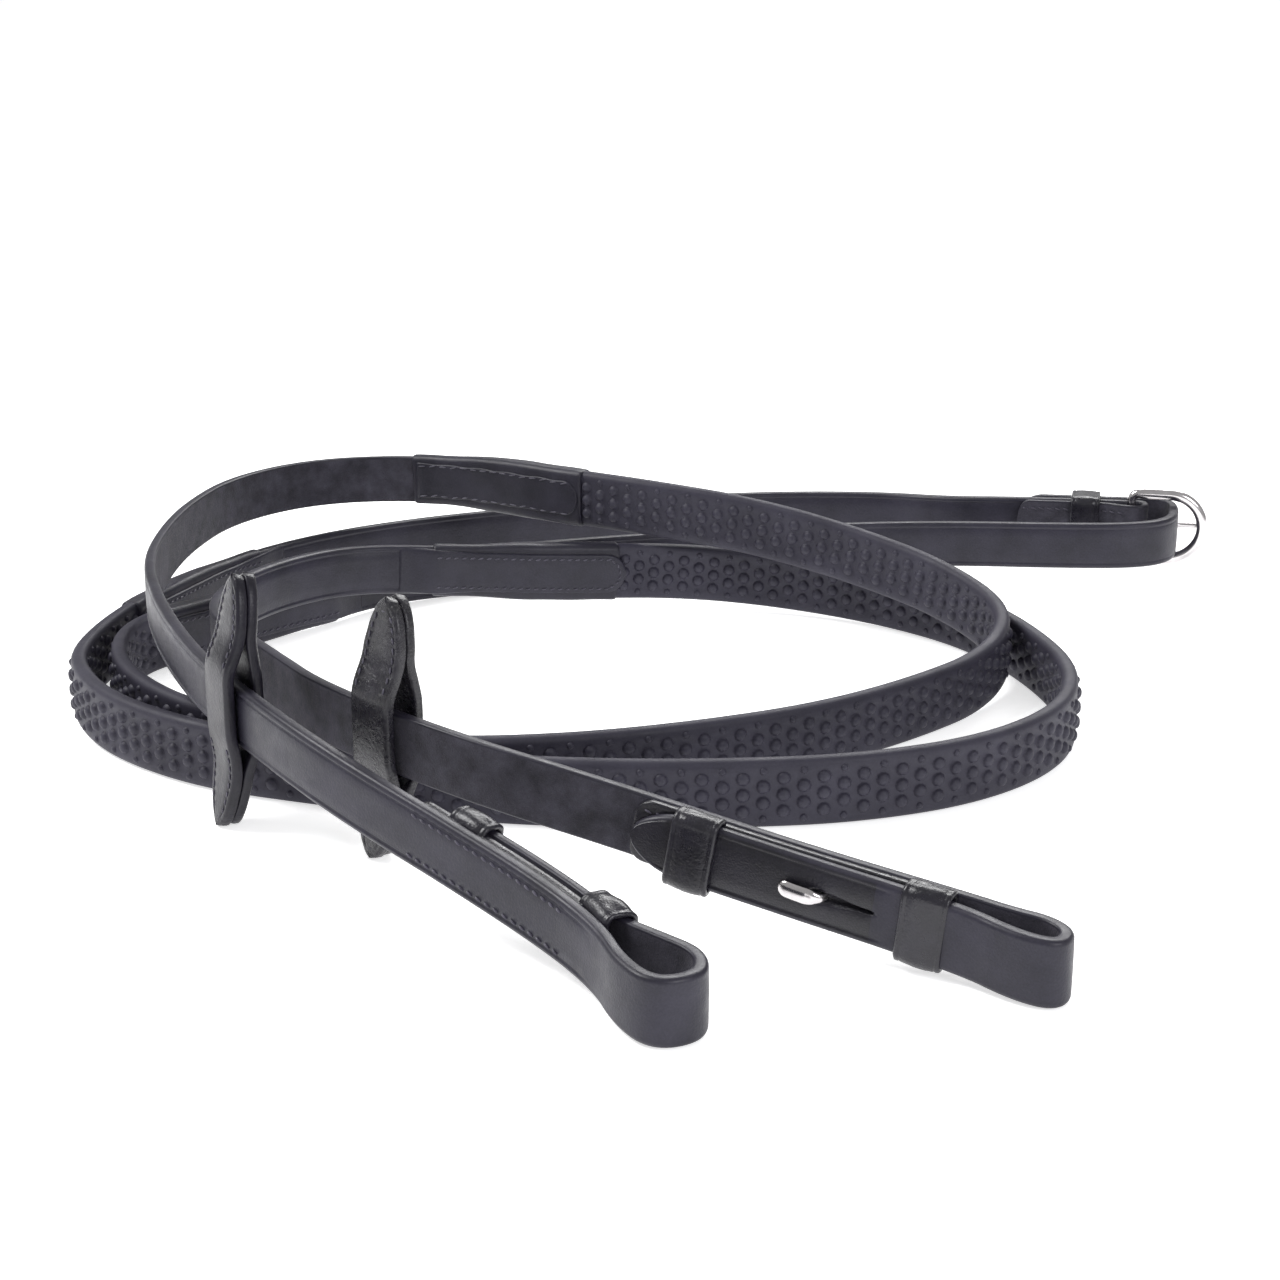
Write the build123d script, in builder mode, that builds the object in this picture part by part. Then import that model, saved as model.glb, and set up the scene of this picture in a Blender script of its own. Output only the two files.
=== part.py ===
from build123d import *
import math
import os

os.makedirs("parts", exist_ok=True)

# ---------------------------------------------------------------- driving dimensions (mm)
STRAP_W = 16.0        # strap width, 5/8 in
STRAP_T = 3.2         # strap leather thickness
CORE_W = 16.0         # leather core inside the rubber grip, the strap's own section
CORE_T = 3.2
GRIP_W = 18.6         # rubber grip over all
GRIP_T = 5.6
WRAP_W = 18.6         # leather sleeve that joins strap and grip
WRAP_T = 7.2
SLEEVE_GAP = 0.06     # play of strap and core inside a wrap, over both sides
FOLD = 5.6            # strap centre to billet centre where the bit end is folded back
BACKING_T = 2.0       # leather layer that holds the hook stud
BACKING_LEN = 30.0
KEEPER_T = 1.5        # leather of keepers and runners
KEEPER_LEN = 11.0
PLATE_L, PLATE_W, PLATE_T = 11.0, 8.0, 0.8       # hook stud: base plate
NECK_L, NECK_W = 3.4, 2.2
HOOK_L, HOOK_W, HOOK_T = 12.0, 4.4, 1.8
SLIT_L, SLIT_W = 17.0, 3.4                        # slit in the billet for the hook
STOP_H = 66.0         # martingale stop, tip to tip
STOP_W = 15.0         # leaf width, along the strap
STOP_T = 3.0          # leather of one leaf
STOP_SLOT = 21.2      # clear height of the slot between the leaves
STOP_GAP = 2.1        # strap centre plane to inner face of a leaf
STOP_LEAN = 4.0       # how far each tip leans out of the strap's plane
BAR_R = 1.6           # buckle: bar radius
FRAME_H = 27.0
FRAME_L = 28.4
WIRE = 4.0            # buckle frame section
TONGUE_R = 1.15
HOLE_R = 2.7          # punched hole in the point strap
BUCKLE = (195.5, 167.0)      # plan place of the buckle bar in the layout
BUCKLE_TURN = -12.0          # heading of the buckle in plan, degrees
ORIGIN = (37.73, 2.44)       # plan place of the part's origin in the layout

# ---------------------------------------------------------------- layout of the two reins
# Centre line of each strap: plan x, plan y, height of the lower edge above the ground.
LEFT_FRONT = [(-27.6, -131.2, 13.2), (-18.4, -138.9, 10.8), (3.6, -158.2, 4.9), (15.6, -173.6, 2.2),
              (23.8, -179.2, 1.2), (33.2, -186.4, 0.4), (33.0, -196.4, 0.1), (23.0, -200.0, 0.1), (16.0, -191.0, 0.9),
              (11.5, -178.0, 2.2), (-0.5, -162.0, 4.9), (-22.0, -143.2, 10.8), (-46.5, -122.8, 17.2),
              (-66.0, -104.0, 22.4), (-92.5, -60.0, 22.4), (-105.3, -33.5, 23.4), (-115.6, -7.6, 24.4),
              (-125.2, 24.9, 25.0), (-127.8, 58.4, 25.0), (-126.0, 92.9, 25.0), (-117.7, 126.8, 25.0),
              (-95.0, 151.9, 25.0), (-62.6, 158.6, 25.0), (-47.0, 151.0, 25.6)]
LEFT_GRIP = [(-47.0, 151.0, 24.3), (-31.4, 143.4, 25.4), (-2.9, 122.9, 26.1), (25.9, 106.4, 26.0), (57.9, 96.3, 22.9),
             (89.2, 83.6, 16.8), (116.2, 62.8, 11.2), (131.8, 34.0, 5.6), (121.5, 8.0, 0.6), (96.2, -17.0, 0.0),
             (68.6, -37.7, 0.0), (38.0, -51.2, 0.0), (5.5, -61.0, 0.0), (-28.3, -64.6, 0.0), (-61.4, -58.6, 0.0),
             (-91.6, -43.6, 0.0), (-117.0, -20.8, 0.0), (-133.8, 10.5, 0.0), (-134.3, 42.0, 0.0),
             (-111.0, 64.8, 0.2), (-98.3, 75.7, 0.2)]
LEFT_HAND = [(-98.3, 75.7, 1.5), (-85.6, 86.6, 1.5), (-64.8, 113.2, 0.8), (-33.7, 128.1, 0.0), (-1.3, 139.4, 0.0),
             (31.4, 147.7, 0.0), (64.6, 154.8, 0.0), (97.6, 159.2, 0.4), (131.7, 156.1, 1.6), (165.8, 146.2, 3.6)]
RIGHT_FRONT = [(18.3, -135.6, 13.9), (51.3, -148.5, 7.4), (90.2, -168.0, 2.2), (100.6, -178.2, 0.8),
               (109.2, -182.2, 0.1), (113.0, -176.6, 0.1), (109.7, -170.4, 0.4), (101.5, -166.8, 1.1),
               (93.0, -162.2, 2.2), (53.5, -143.4, 7.4), (12.5, -127.3, 15.5), (-24.0, -114.5, 22.4),
               (-60.0, -78.0, 22.4), (-75.5, -54.5, 23.0), (-88.5, -30.0, 21.2), (-102.1, -1.8, 17.7),
               (-104.8, 33.6, 14.8), (-94.0, 66.8, 12.9), (-72.3, 90.1, 11.6), (-35.4, 93.4, 9.9),
               (-17.7, 97.6, 8.6)]
RIGHT_GRIP = [(-17.7, 97.6, 7.3), (0.0, 101.9, 6.0), (33.6, 112.3, 3.2), (67.6, 107.0, 1.4), (100.4, 90.6, 0.2),
              (124.8, 65.6, 0.0), (138.5, 31.6, 0.0), (144.5, -4.3, 0.0), (135.8, -37.5, 0.0), (110.8, -62.9, 0.0),
              (77.7, -76.5, 0.0), (42.5, -80.6, 0.0), (6.9, -80.3, 0.0), (-27.3, -75.6, 0.0), (-60.7, -66.0, 0.0),
              (-96.2, -53.4, 0.0), (-124.3, -31.0, 0.0), (-138.9, -7.5, 0.0), (-144.9, 14.0, 0.0),
              (-140.2, 50.4, 0.1), (-133.5, 68.3, 0.2)]
RIGHT_HAND = [(-133.5, 68.3, 1.5), (-126.8, 86.2, 1.5), (-110.9, 117.5, 1.5), (-87.3, 143.1, 1.4), (-58.8, 164.3, 0.5),
              (-27.3, 179.5, 0.0), (6.3, 190.7, 0.0), (40.2, 199.9, 0.0), (75.2, 204.8, 0.0), (110.4, 200.6, 0.8)]
# Buckle end in the buckle's own plan frame: along the strap from the bar, far side, height of the lower edge.
LEFT_END = [(1.5, -27.2, 5.2), (13.5, -18.5, 5.5), (15.2, -3.0, 5.5), (13.0, 9.6, 5.5), (-3.0, 7.4, 5.5),
            (-21.0, 7.0, 5.4), (-40.0, 7.2, 5.0)]
RIGHT_END = [(-67.0, 6.8, 2.6), (-45.0, 3.6, 4.4), (-21.0, 3.5, 5.2), (-9.0, 3.4, 5.4), (-1.5, 3.3, 5.5), (4.6, 4.2, 5.5),
             (4.6, -4.2, 5.5), (-3.0, -3.4, 5.5), (-9.6, -0.5, 5.4), (-24.0, -0.5, 5.2), (-40.0, -0.1, 4.7)]
STOP_LEFT_AT = (-82.6, -76.4)     # plan place of each martingale stop
STOP_RIGHT_AT = (-42.0, -96.2)


def buckle_point(u, v):
    a = math.radians(BUCKLE_TURN)
    return (BUCKLE[0] + u * math.cos(a) - v * math.sin(a), BUCKLE[1] + u * math.sin(a) + v * math.cos(a))


def placed(points, width):
    """Centre line in the part's own frame, from layout points."""
    return [(x - ORIGIN[0], y - ORIGIN[1], z + width / 2) for x, y, z in points]


LEFT_HAND += [buckle_point(u, v) + (z,) for u, v, z in LEFT_END]
RIGHT_HAND += [buckle_point(u, v) + (z,) for u, v, z in RIGHT_END]
left_front_pts = placed(LEFT_FRONT, STRAP_W)
left_grip_pts = placed(LEFT_GRIP, GRIP_W)
left_hand_pts = placed(LEFT_HAND, STRAP_W)
right_front_pts = placed(RIGHT_FRONT, STRAP_W)
right_grip_pts = placed(RIGHT_GRIP, GRIP_W)
right_hand_pts = placed(RIGHT_HAND, STRAP_W)


def meet(before, after):
    """Ends of two strips brought to the middle between their neighbours, so that both run straight through the joint."""
    m = tuple((a + b) / 2 for a, b in zip(before[-2], after[1]))
    before[-1], after[0] = m, m


meet(left_front_pts, left_grip_pts)
meet(left_grip_pts, left_hand_pts)
meet(right_front_pts, right_grip_pts)
meet(right_grip_pts, right_hand_pts)


def radii(points):
    """Largest tangent arc at each corner: 0.45 of the shorter run."""
    out = []
    for a, b, c in zip(points, points[1:], points[2:]):
        u, v = Vector(*b) - Vector(*a), Vector(*c) - Vector(*b)
        out.append(0.45 * min(u.length, v.length) / math.tan(math.radians(u.get_angle(v)) / 2))
    return out


def route(points):
    with BuildLine() as line:
        FilletPolyline(*points, radius=radii(points))
    return line.wires()[0]


def joint_route(before, after):
    """One route from the third last corner of one strip to the third of the next, straight through their joint."""
    points = before[-4:-1] + after[1:5]
    with BuildLine() as line:
        FilletPolyline(*points, radius=radii(before[-4:]) + radii(after[:5]))
    return line.wires()[0]


def upright(origin, direction):
    """Section plane: local x is the strap's thickness (left of travel), local y its width (up)."""
    return Plane(origin=origin, x_dir=Vector(-direction.Y, direction.X, 0).normalized(), z_dir=direction)


def station(wire, point):
    """Upright section plane of a route at its place nearest to a plan point."""
    best = min((i / 2000 for i in range(2001)),
               key=lambda t: (Vector(point[0] - ORIGIN[0], point[1] - ORIGIN[1], 0)
                              - Vector((wire @ t).X, (wire @ t).Y, 0)).length)
    return upright(wire @ best, wire % best)


def guide(wire):
    return wire.moved(Location((0, 0, 60)))


left_front_route, left_grip_route, left_hand_route = route(left_front_pts), route(left_grip_pts), route(left_hand_pts)
right_front_route, right_grip_route, right_hand_route = route(right_front_pts), route(right_grip_pts), route(right_hand_pts)

# The stack at each bit end: plan places along the folded stretch.
LEFT_STUD_AT = (-2.5, -160.5)
LEFT_RUNNER_AT = (8.2, -173.6)
LEFT_KEEPER_AT = (-21.5, -143.6)
RIGHT_STUD_AT = (63.3, -147.9)
RIGHT_RUNNER_AT = (85.6, -158.8)
RIGHT_KEEPER_AT = (34.5, -136.0)

left_main = route(left_front_pts[9:14])
right_main = route(right_front_pts[8:12])
left_stud_plane = station(left_main, LEFT_STUD_AT)
right_stud_plane = station(right_main, RIGHT_STUD_AT)
# The billet lies on the right of travel on the left rein and on the left of travel on the right rein.
SIDE_L, SIDE_R = -1, 1

# ---------------------------------------------------------------- hook studs
with BuildPart() as left_hook_stud:
    s = SIDE_L
    pl = left_stud_plane
    with BuildSketch(Plane(origin=pl.from_local_coords((s * (STRAP_T / 2 + 0.02), 0, 0)), x_dir=pl.z_dir, z_dir=pl.x_dir * s)):
        RectangleRounded(PLATE_L, PLATE_W, 2.0)
    extrude(amount=PLATE_T)
    with BuildSketch(Plane(origin=pl.from_local_coords((s * (STRAP_T / 2 + 0.02), 0, 0)), x_dir=pl.z_dir, z_dir=pl.x_dir * s)):
        RectangleRounded(NECK_L, NECK_W, 0.9)
    extrude(amount=FOLD + 0.8)
    with BuildSketch(Plane(origin=pl.from_local_coords((s * (FOLD + STRAP_T / 2 + 0.45), 0, 4.0)), x_dir=pl.z_dir, z_dir=pl.x_dir * s)):
        SlotOverall(HOOK_L, HOOK_W)
    extrude(amount=HOOK_T)
    fillet(left_hook_stud.faces().sort_by(Axis(pl.origin, tuple(pl.x_dir * s)))[-1].edges(), 0.7)

with BuildPart() as right_hook_stud:
    s = SIDE_R
    pl = right_stud_plane
    with BuildSketch(Plane(origin=pl.from_local_coords((s * (STRAP_T / 2 + 0.02), 0, 0)), x_dir=pl.z_dir, z_dir=pl.x_dir * s)):
        RectangleRounded(PLATE_L, PLATE_W, 2.0)
    extrude(amount=PLATE_T)
    with BuildSketch(Plane(origin=pl.from_local_coords((s * (STRAP_T / 2 + 0.02), 0, 0)), x_dir=pl.z_dir, z_dir=pl.x_dir * s)):
        RectangleRounded(NECK_L, NECK_W, 0.9)
    extrude(amount=FOLD + 0.8)
    with BuildSketch(Plane(origin=pl.from_local_coords((s * (FOLD + STRAP_T / 2 + 0.45), 0, 4.0)), x_dir=pl.z_dir, z_dir=pl.x_dir * s)):
        SlotOverall(HOOK_L, HOOK_W)
    extrude(amount=HOOK_T)
    fillet(right_hook_stud.faces().sort_by(Axis(pl.origin, tuple(pl.x_dir * s)))[-1].edges(), 0.7)

# ---------------------------------------------------------------- front straps with their folded billets
with BuildPart() as left_front_strap:
    with BuildSketch(upright(left_front_route @ 0, left_front_route % 0)):
        RectangleRounded(STRAP_T, STRAP_W, 0.6)
    sweep(path=left_front_route, binormal=guide(left_front_route))
    pl = left_stud_plane
    with BuildSketch(Plane(origin=pl.from_local_coords((SIDE_L * (STRAP_T / 2 + BACKING_T + 0.2), 0, -6.0)), x_dir=pl.z_dir, z_dir=pl.x_dir * SIDE_L)):
        SlotOverall(SLIT_L, SLIT_W)
    extrude(amount=STRAP_T + 3.0, mode=Mode.SUBTRACT)

with BuildPart() as right_front_strap:
    with BuildSketch(upright(right_front_route @ 0, right_front_route % 0)):
        RectangleRounded(STRAP_T, STRAP_W, 0.6)
    sweep(path=right_front_route, binormal=guide(right_front_route))
    pl = right_stud_plane
    with BuildSketch(Plane(origin=pl.from_local_coords((SIDE_R * (STRAP_T / 2 + BACKING_T + 0.2), 0, -6.0)), x_dir=pl.z_dir, z_dir=pl.x_dir * SIDE_R)):
        SlotOverall(SLIT_L, SLIT_W)
    extrude(amount=STRAP_T + 3.0, mode=Mode.SUBTRACT)

# ---------------------------------------------------------------- stud backing layers
with BuildPart() as left_stud_backing:
    pl = left_stud_plane
    with BuildSketch(Plane(origin=pl.from_local_coords((SIDE_L * (STRAP_T / 2 + 0.02), 0, 4.3)), x_dir=pl.z_dir, z_dir=pl.x_dir * SIDE_L)):
        RectangleRounded(BACKING_LEN, STRAP_W - 0.4, 3.0)
    extrude(amount=BACKING_T)
    add(left_hook_stud.part, mode=Mode.SUBTRACT)
    add(left_front_strap.part, mode=Mode.SUBTRACT)

with BuildPart() as right_stud_backing:
    pl = right_stud_plane
    with BuildSketch(Plane(origin=pl.from_local_coords((SIDE_R * (STRAP_T / 2 + 0.02), 0, 0)), x_dir=pl.z_dir, z_dir=pl.x_dir * SIDE_R)):
        RectangleRounded(BACKING_LEN, STRAP_W - 0.4, 3.0)
    extrude(amount=BACKING_T)
    add(right_hook_stud.part, mode=Mode.SUBTRACT)
    add(right_front_strap.part, mode=Mode.SUBTRACT)


# ---------------------------------------------------------------- keepers and runners
# Each loop goes round the billet only. Its near wall is sewn in between the main strap and the backing.
LOOP_NEAR = STRAP_T / 2 + 0.1 + KEEPER_T          # clear space starts here, measured from the main strap's middle
LOOP_REACH = FOLD + STRAP_T / 2 + 0.5
LEFT_RUNNER_REACH = FOLD + STRAP_T / 2 + 1.6      # the billet stands a little off there
LOOP_H = STRAP_W + 0.8

with BuildPart() as left_runner:
    pl = station(left_main, LEFT_RUNNER_AT)
    with BuildSketch(Plane(origin=pl.from_local_coords((SIDE_L * (LOOP_NEAR + LEFT_RUNNER_REACH) / 2, 0, -KEEPER_LEN / 2)), x_dir=pl.x_dir, z_dir=pl.z_dir)):
        RectangleRounded(LEFT_RUNNER_REACH - LOOP_NEAR + 2 * KEEPER_T, LOOP_H + 2 * KEEPER_T, 1.8)
        RectangleRounded(LEFT_RUNNER_REACH - LOOP_NEAR, LOOP_H, 0.6, mode=Mode.SUBTRACT)
    extrude(amount=KEEPER_LEN)
    add(left_front_strap.part, mode=Mode.SUBTRACT)
left_runner_plane = pl

with BuildPart() as right_runner:
    pl = station(right_main, RIGHT_RUNNER_AT)
    with BuildSketch(Plane(origin=pl.from_local_coords((SIDE_R * (LOOP_NEAR + LOOP_REACH) / 2, 0, -KEEPER_LEN / 2)), x_dir=pl.x_dir, z_dir=pl.z_dir)):
        RectangleRounded(LOOP_REACH - LOOP_NEAR + 2 * KEEPER_T, LOOP_H + 2 * KEEPER_T, 1.8)
        RectangleRounded(LOOP_REACH - LOOP_NEAR, LOOP_H, 0.6, mode=Mode.SUBTRACT)
    extrude(amount=KEEPER_LEN)
    add(right_front_strap.part, mode=Mode.SUBTRACT)
right_runner_plane = pl

with BuildPart() as left_keeper:
    pl = station(left_main, LEFT_KEEPER_AT)
    with BuildSketch(Plane(origin=pl.from_local_coords((SIDE_L * (LOOP_NEAR + LOOP_REACH) / 2, 0, -KEEPER_LEN / 2)), x_dir=pl.x_dir, z_dir=pl.z_dir)):
        RectangleRounded(LOOP_REACH - LOOP_NEAR + 2 * KEEPER_T, LOOP_H + 2 * KEEPER_T, 1.8)
        RectangleRounded(LOOP_REACH - LOOP_NEAR, LOOP_H, 0.6, mode=Mode.SUBTRACT)
    extrude(amount=KEEPER_LEN)
    add(left_front_strap.part, mode=Mode.SUBTRACT)
left_keeper_plane = pl

with BuildPart() as right_keeper:
    pl = station(right_main, RIGHT_KEEPER_AT)
    with BuildSketch(Plane(origin=pl.from_local_coords((SIDE_R * (LOOP_NEAR + LOOP_REACH) / 2, 0, -KEEPER_LEN / 2)), x_dir=pl.x_dir, z_dir=pl.z_dir)):
        RectangleRounded(LOOP_REACH - LOOP_NEAR + 2 * KEEPER_T, LOOP_H + 2 * KEEPER_T, 1.8)
        RectangleRounded(LOOP_REACH - LOOP_NEAR, LOOP_H, 0.6, mode=Mode.SUBTRACT)
    extrude(amount=KEEPER_LEN)
    add(right_front_strap.part, mode=Mode.SUBTRACT)
right_keeper_plane = pl

# ---------------------------------------------------------------- martingale stops
# Each stop is two leather leaves sewn together at both tips and parted round the strap.
HALF = STOP_H / 2
LEAF_OUTLINE = [(0.0, HALF), (4.2, HALF - 3.5), (7.0, HALF - 12.0), (STOP_W / 2, HALF - 20.0), (6.2, 7.0), (6.2, -7.0),
                (STOP_W / 2, -HALF + 20.0), (7.0, -HALF + 12.0), (4.2, -HALF + 3.5), (0.0, -HALF),
                (-4.2, -HALF + 3.5), (-7.0, -HALF + 12.0), (-STOP_W / 2, -HALF + 20.0), (-6.2, -7.0), (-6.2, 7.0),
                (-STOP_W / 2, HALF - 20.0), (-7.0, HALF - 12.0), (-4.2, HALF - 3.5)]


def leaf_band(side, lean):
    """Side view of one leaf: (across the strap, up) points of a band STOP_T thick, bent round the strap."""
    def middle(h):
        a = abs(h)
        gap = STOP_GAP if a < STOP_SLOT / 2 else max(0.05, STOP_GAP - (a - STOP_SLOT / 2) * 0.42)
        tilt = 0.0 if a < STOP_SLOT / 2 else (a - STOP_SLOT / 2) / (HALF - STOP_SLOT / 2)
        return side * gap, lean * tilt * (1 if h > 0 else -1)
    heights = [-HALF, -HALF + 8, -HALF + 14, -STOP_SLOT / 2 - 5, -STOP_SLOT / 2, STOP_SLOT / 2, STOP_SLOT / 2 + 5, HALF - 14, HALF - 8, HALF]
    inner, outer = [], []
    for h in heights:
        g, m = middle(h)
        inner.append((g + m, h))
        outer.append((g + side * STOP_T + m, h))
    return inner + outer[::-1]


def stop_plane(points, at):
    """Upright plane across the straight stretch of strap at the stop, at half the stop's height."""
    a, b = Vector(*points[0]), Vector(*points[1])
    d = (b - a).normalized()
    p = a + d * (Vector(at[0] - ORIGIN[0], at[1] - ORIGIN[1], a.Z) - a).dot(d)
    return Plane(origin=(p.X, p.Y, HALF), x_dir=(-d.Y, d.X, 0), z_dir=d)


left_stop_plane = stop_plane(left_front_pts[13:15], STOP_LEFT_AT)
right_stop_plane = stop_plane(right_front_pts[11:13], STOP_RIGHT_AT)

with BuildPart() as left_stop_outer_leaf:
    pl = left_stop_plane
    with BuildSketch(Plane(origin=pl.origin - pl.z_dir * STOP_W / 2, x_dir=pl.x_dir, z_dir=pl.z_dir)):
        Polygon(*leaf_band(1, -STOP_LEAN), align=None)
    extrude(amount=STOP_W)
    with BuildSketch(Plane(origin=pl.origin - pl.x_dir * 15, x_dir=-pl.z_dir, z_dir=pl.x_dir)):
        Polygon(*LEAF_OUTLINE, align=None)
    extrude(amount=30, mode=Mode.INTERSECT)

with BuildPart() as left_stop_inner_leaf:
    pl = left_stop_plane
    with BuildSketch(Plane(origin=pl.origin - pl.z_dir * STOP_W / 2, x_dir=pl.x_dir, z_dir=pl.z_dir)):
        Polygon(*leaf_band(-1, -STOP_LEAN), align=None)
    extrude(amount=STOP_W)
    with BuildSketch(Plane(origin=pl.origin - pl.x_dir * 15, x_dir=-pl.z_dir, z_dir=pl.x_dir)):
        Polygon(*LEAF_OUTLINE, align=None)
    extrude(amount=30, mode=Mode.INTERSECT)

with BuildPart() as right_stop_outer_leaf:
    pl = right_stop_plane
    with BuildSketch(Plane(origin=pl.origin - pl.z_dir * STOP_W / 2, x_dir=pl.x_dir, z_dir=pl.z_dir)):
        Polygon(*leaf_band(1, -STOP_LEAN), align=None)
    extrude(amount=STOP_W)
    with BuildSketch(Plane(origin=pl.origin - pl.x_dir * 15, x_dir=-pl.z_dir, z_dir=pl.x_dir)):
        Polygon(*LEAF_OUTLINE, align=None)
    extrude(amount=30, mode=Mode.INTERSECT)

with BuildPart() as right_stop_inner_leaf:
    pl = right_stop_plane
    with BuildSketch(Plane(origin=pl.origin - pl.z_dir * STOP_W / 2, x_dir=pl.x_dir, z_dir=pl.z_dir)):
        Polygon(*leaf_band(-1, -STOP_LEAN), align=None)
    extrude(amount=STOP_W)
    with BuildSketch(Plane(origin=pl.origin - pl.x_dir * 15, x_dir=-pl.z_dir, z_dir=pl.x_dir)):
        Polygon(*LEAF_OUTLINE, align=None)
    extrude(amount=30, mode=Mode.INTERSECT)

# ---------------------------------------------------------------- hand straps
with BuildPart() as left_hand_strap:
    with BuildSketch(upright(left_hand_route @ 0, left_hand_route % 0)):
        RectangleRounded(STRAP_T, STRAP_W, 0.6)
    sweep(path=left_hand_route, binormal=guide(left_hand_route))
    # the punched hole that the buckle tongue goes through
    K = buckle_point(0, 2.0)
    a = math.radians(BUCKLE_TURN)
    with BuildSketch(Plane(origin=(K[0] - ORIGIN[0], K[1] - ORIGIN[1], FRAME_H / 2), x_dir=(-math.sin(a), math.cos(a), 0),
                           z_dir=(math.cos(a), math.sin(a), 0)).offset(9.0)):
        Circle(HOLE_R)
    extrude(amount=10.0, mode=Mode.SUBTRACT)

buckle_plane = Plane(origin=(BUCKLE[0] - ORIGIN[0], BUCKLE[1] - ORIGIN[1], FRAME_H / 2),
                     x_dir=(math.cos(math.radians(BUCKLE_TURN)), math.sin(math.radians(BUCKLE_TURN)), 0),
                     z_dir=(math.sin(math.radians(BUCKLE_TURN)), -math.cos(math.radians(BUCKLE_TURN)), 0))

with BuildPart() as right_hand_strap:
    with BuildSketch(upright(right_hand_route @ 0, right_hand_route % 0)):
        RectangleRounded(STRAP_T, STRAP_W, 0.6)
    sweep(path=right_hand_route, binormal=guide(right_hand_route))
    # slot in the fold for the root of the tongue
    with BuildSketch(Plane(origin=buckle_plane.origin - buckle_plane.y_dir * 3.2, x_dir=buckle_plane.x_dir, z_dir=buckle_plane.y_dir)):
        with Locations((1.6, 0)):
            RectangleRounded(13.0, 13.0, 1.0)
    extrude(amount=6.4, mode=Mode.SUBTRACT)

# ---------------------------------------------------------------- rubber grips on their leather cores
with BuildPart() as left_grip_core:
    with BuildSketch(upright(left_grip_route @ 0, left_grip_route % 0)):
        RectangleRounded(CORE_T, CORE_W, 0.5)
    sweep(path=left_grip_route, binormal=guide(left_grip_route))
    add(left_front_strap.part, mode=Mode.SUBTRACT)
    add(left_hand_strap.part, mode=Mode.SUBTRACT)

with BuildPart() as right_grip_core:
    with BuildSketch(upright(right_grip_route @ 0, right_grip_route % 0)):
        RectangleRounded(CORE_T, CORE_W, 0.5)
    sweep(path=right_grip_route, binormal=guide(right_grip_route))
    add(right_front_strap.part, mode=Mode.SUBTRACT)
    add(right_hand_strap.part, mode=Mode.SUBTRACT)

# ---------------------------------------------------------------- leather wraps where strap and grip are sewn
def cut_plane(wire, length):
    return upright(wire @ (length / wire.length), wire % (length / wire.length))


left_front_tail = route([left_front_pts[-1], left_front_pts[-2], left_front_pts[-3], left_front_pts[-4]])
left_grip_head = route(left_grip_pts[:5])
left_grip_tail = route([left_grip_pts[-1], left_grip_pts[-2], left_grip_pts[-3], left_grip_pts[-4]])
left_hand_head = route(left_hand_pts[:5])
right_front_tail = route([right_front_pts[-1], right_front_pts[-2], right_front_pts[-3], right_front_pts[-4]])
right_grip_head = route(right_grip_pts[:5])
right_grip_tail = route([right_grip_pts[-1], right_grip_pts[-2], right_grip_pts[-3], right_grip_pts[-4]])
right_hand_head = route(right_hand_pts[:5])


def beyond(wire, length):
    """A large block past the given length of a route, to trim with."""
    p = cut_plane(wire, length)
    return Plane(origin=p.origin, x_dir=p.x_dir, z_dir=p.z_dir)


with BuildPart() as left_wrap_front:
    path = joint_route(left_front_pts, left_grip_pts)
    with BuildSketch(upright(path @ 0, path % 0)):
        RectangleRounded(WRAP_T, WRAP_W, 1.5)
        RectangleRounded(STRAP_T + SLEEVE_GAP, STRAP_W + SLEEVE_GAP, 0.6, mode=Mode.SUBTRACT)
    sweep(path=path, binormal=guide(path))
    with BuildSketch(beyond(left_front_tail, 12.0)):
        Rectangle(120, 120)
    extrude(amount=90, mode=Mode.SUBTRACT)
    with BuildSketch(beyond(left_grip_head, 58.0)):
        Rectangle(120, 120)
    extrude(amount=120, mode=Mode.SUBTRACT)

with BuildPart() as left_wrap_rear:
    path = joint_route(left_grip_pts, left_hand_pts)
    with BuildSketch(upright(path @ 0, path % 0)):
        RectangleRounded(WRAP_T, WRAP_W, 1.5)
        RectangleRounded(STRAP_T + SLEEVE_GAP, STRAP_W + SLEEVE_GAP, 0.6, mode=Mode.SUBTRACT)
    sweep(path=path, binormal=guide(path))
    with BuildSketch(beyond(left_grip_tail, 40.0)):
        Rectangle(120, 120)
    extrude(amount=90, mode=Mode.SUBTRACT)
    with BuildSketch(beyond(left_hand_head, 26.0)):
        Rectangle(120, 120)
    extrude(amount=150, mode=Mode.SUBTRACT)

with BuildPart() as right_wrap_front:
    path = joint_route(right_front_pts, right_grip_pts)
    with BuildSketch(upright(path @ 0, path % 0)):
        RectangleRounded(WRAP_T, WRAP_W, 1.5)
        RectangleRounded(STRAP_T + SLEEVE_GAP, STRAP_W + SLEEVE_GAP, 0.6, mode=Mode.SUBTRACT)
    sweep(path=path, binormal=guide(path))
    with BuildSketch(beyond(right_front_tail, 30.0)):
        Rectangle(120, 120)
    extrude(amount=90, mode=Mode.SUBTRACT)
    with BuildSketch(beyond(right_grip_head, 31.0)):
        Rectangle(120, 120)
    extrude(amount=120, mode=Mode.SUBTRACT)

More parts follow.
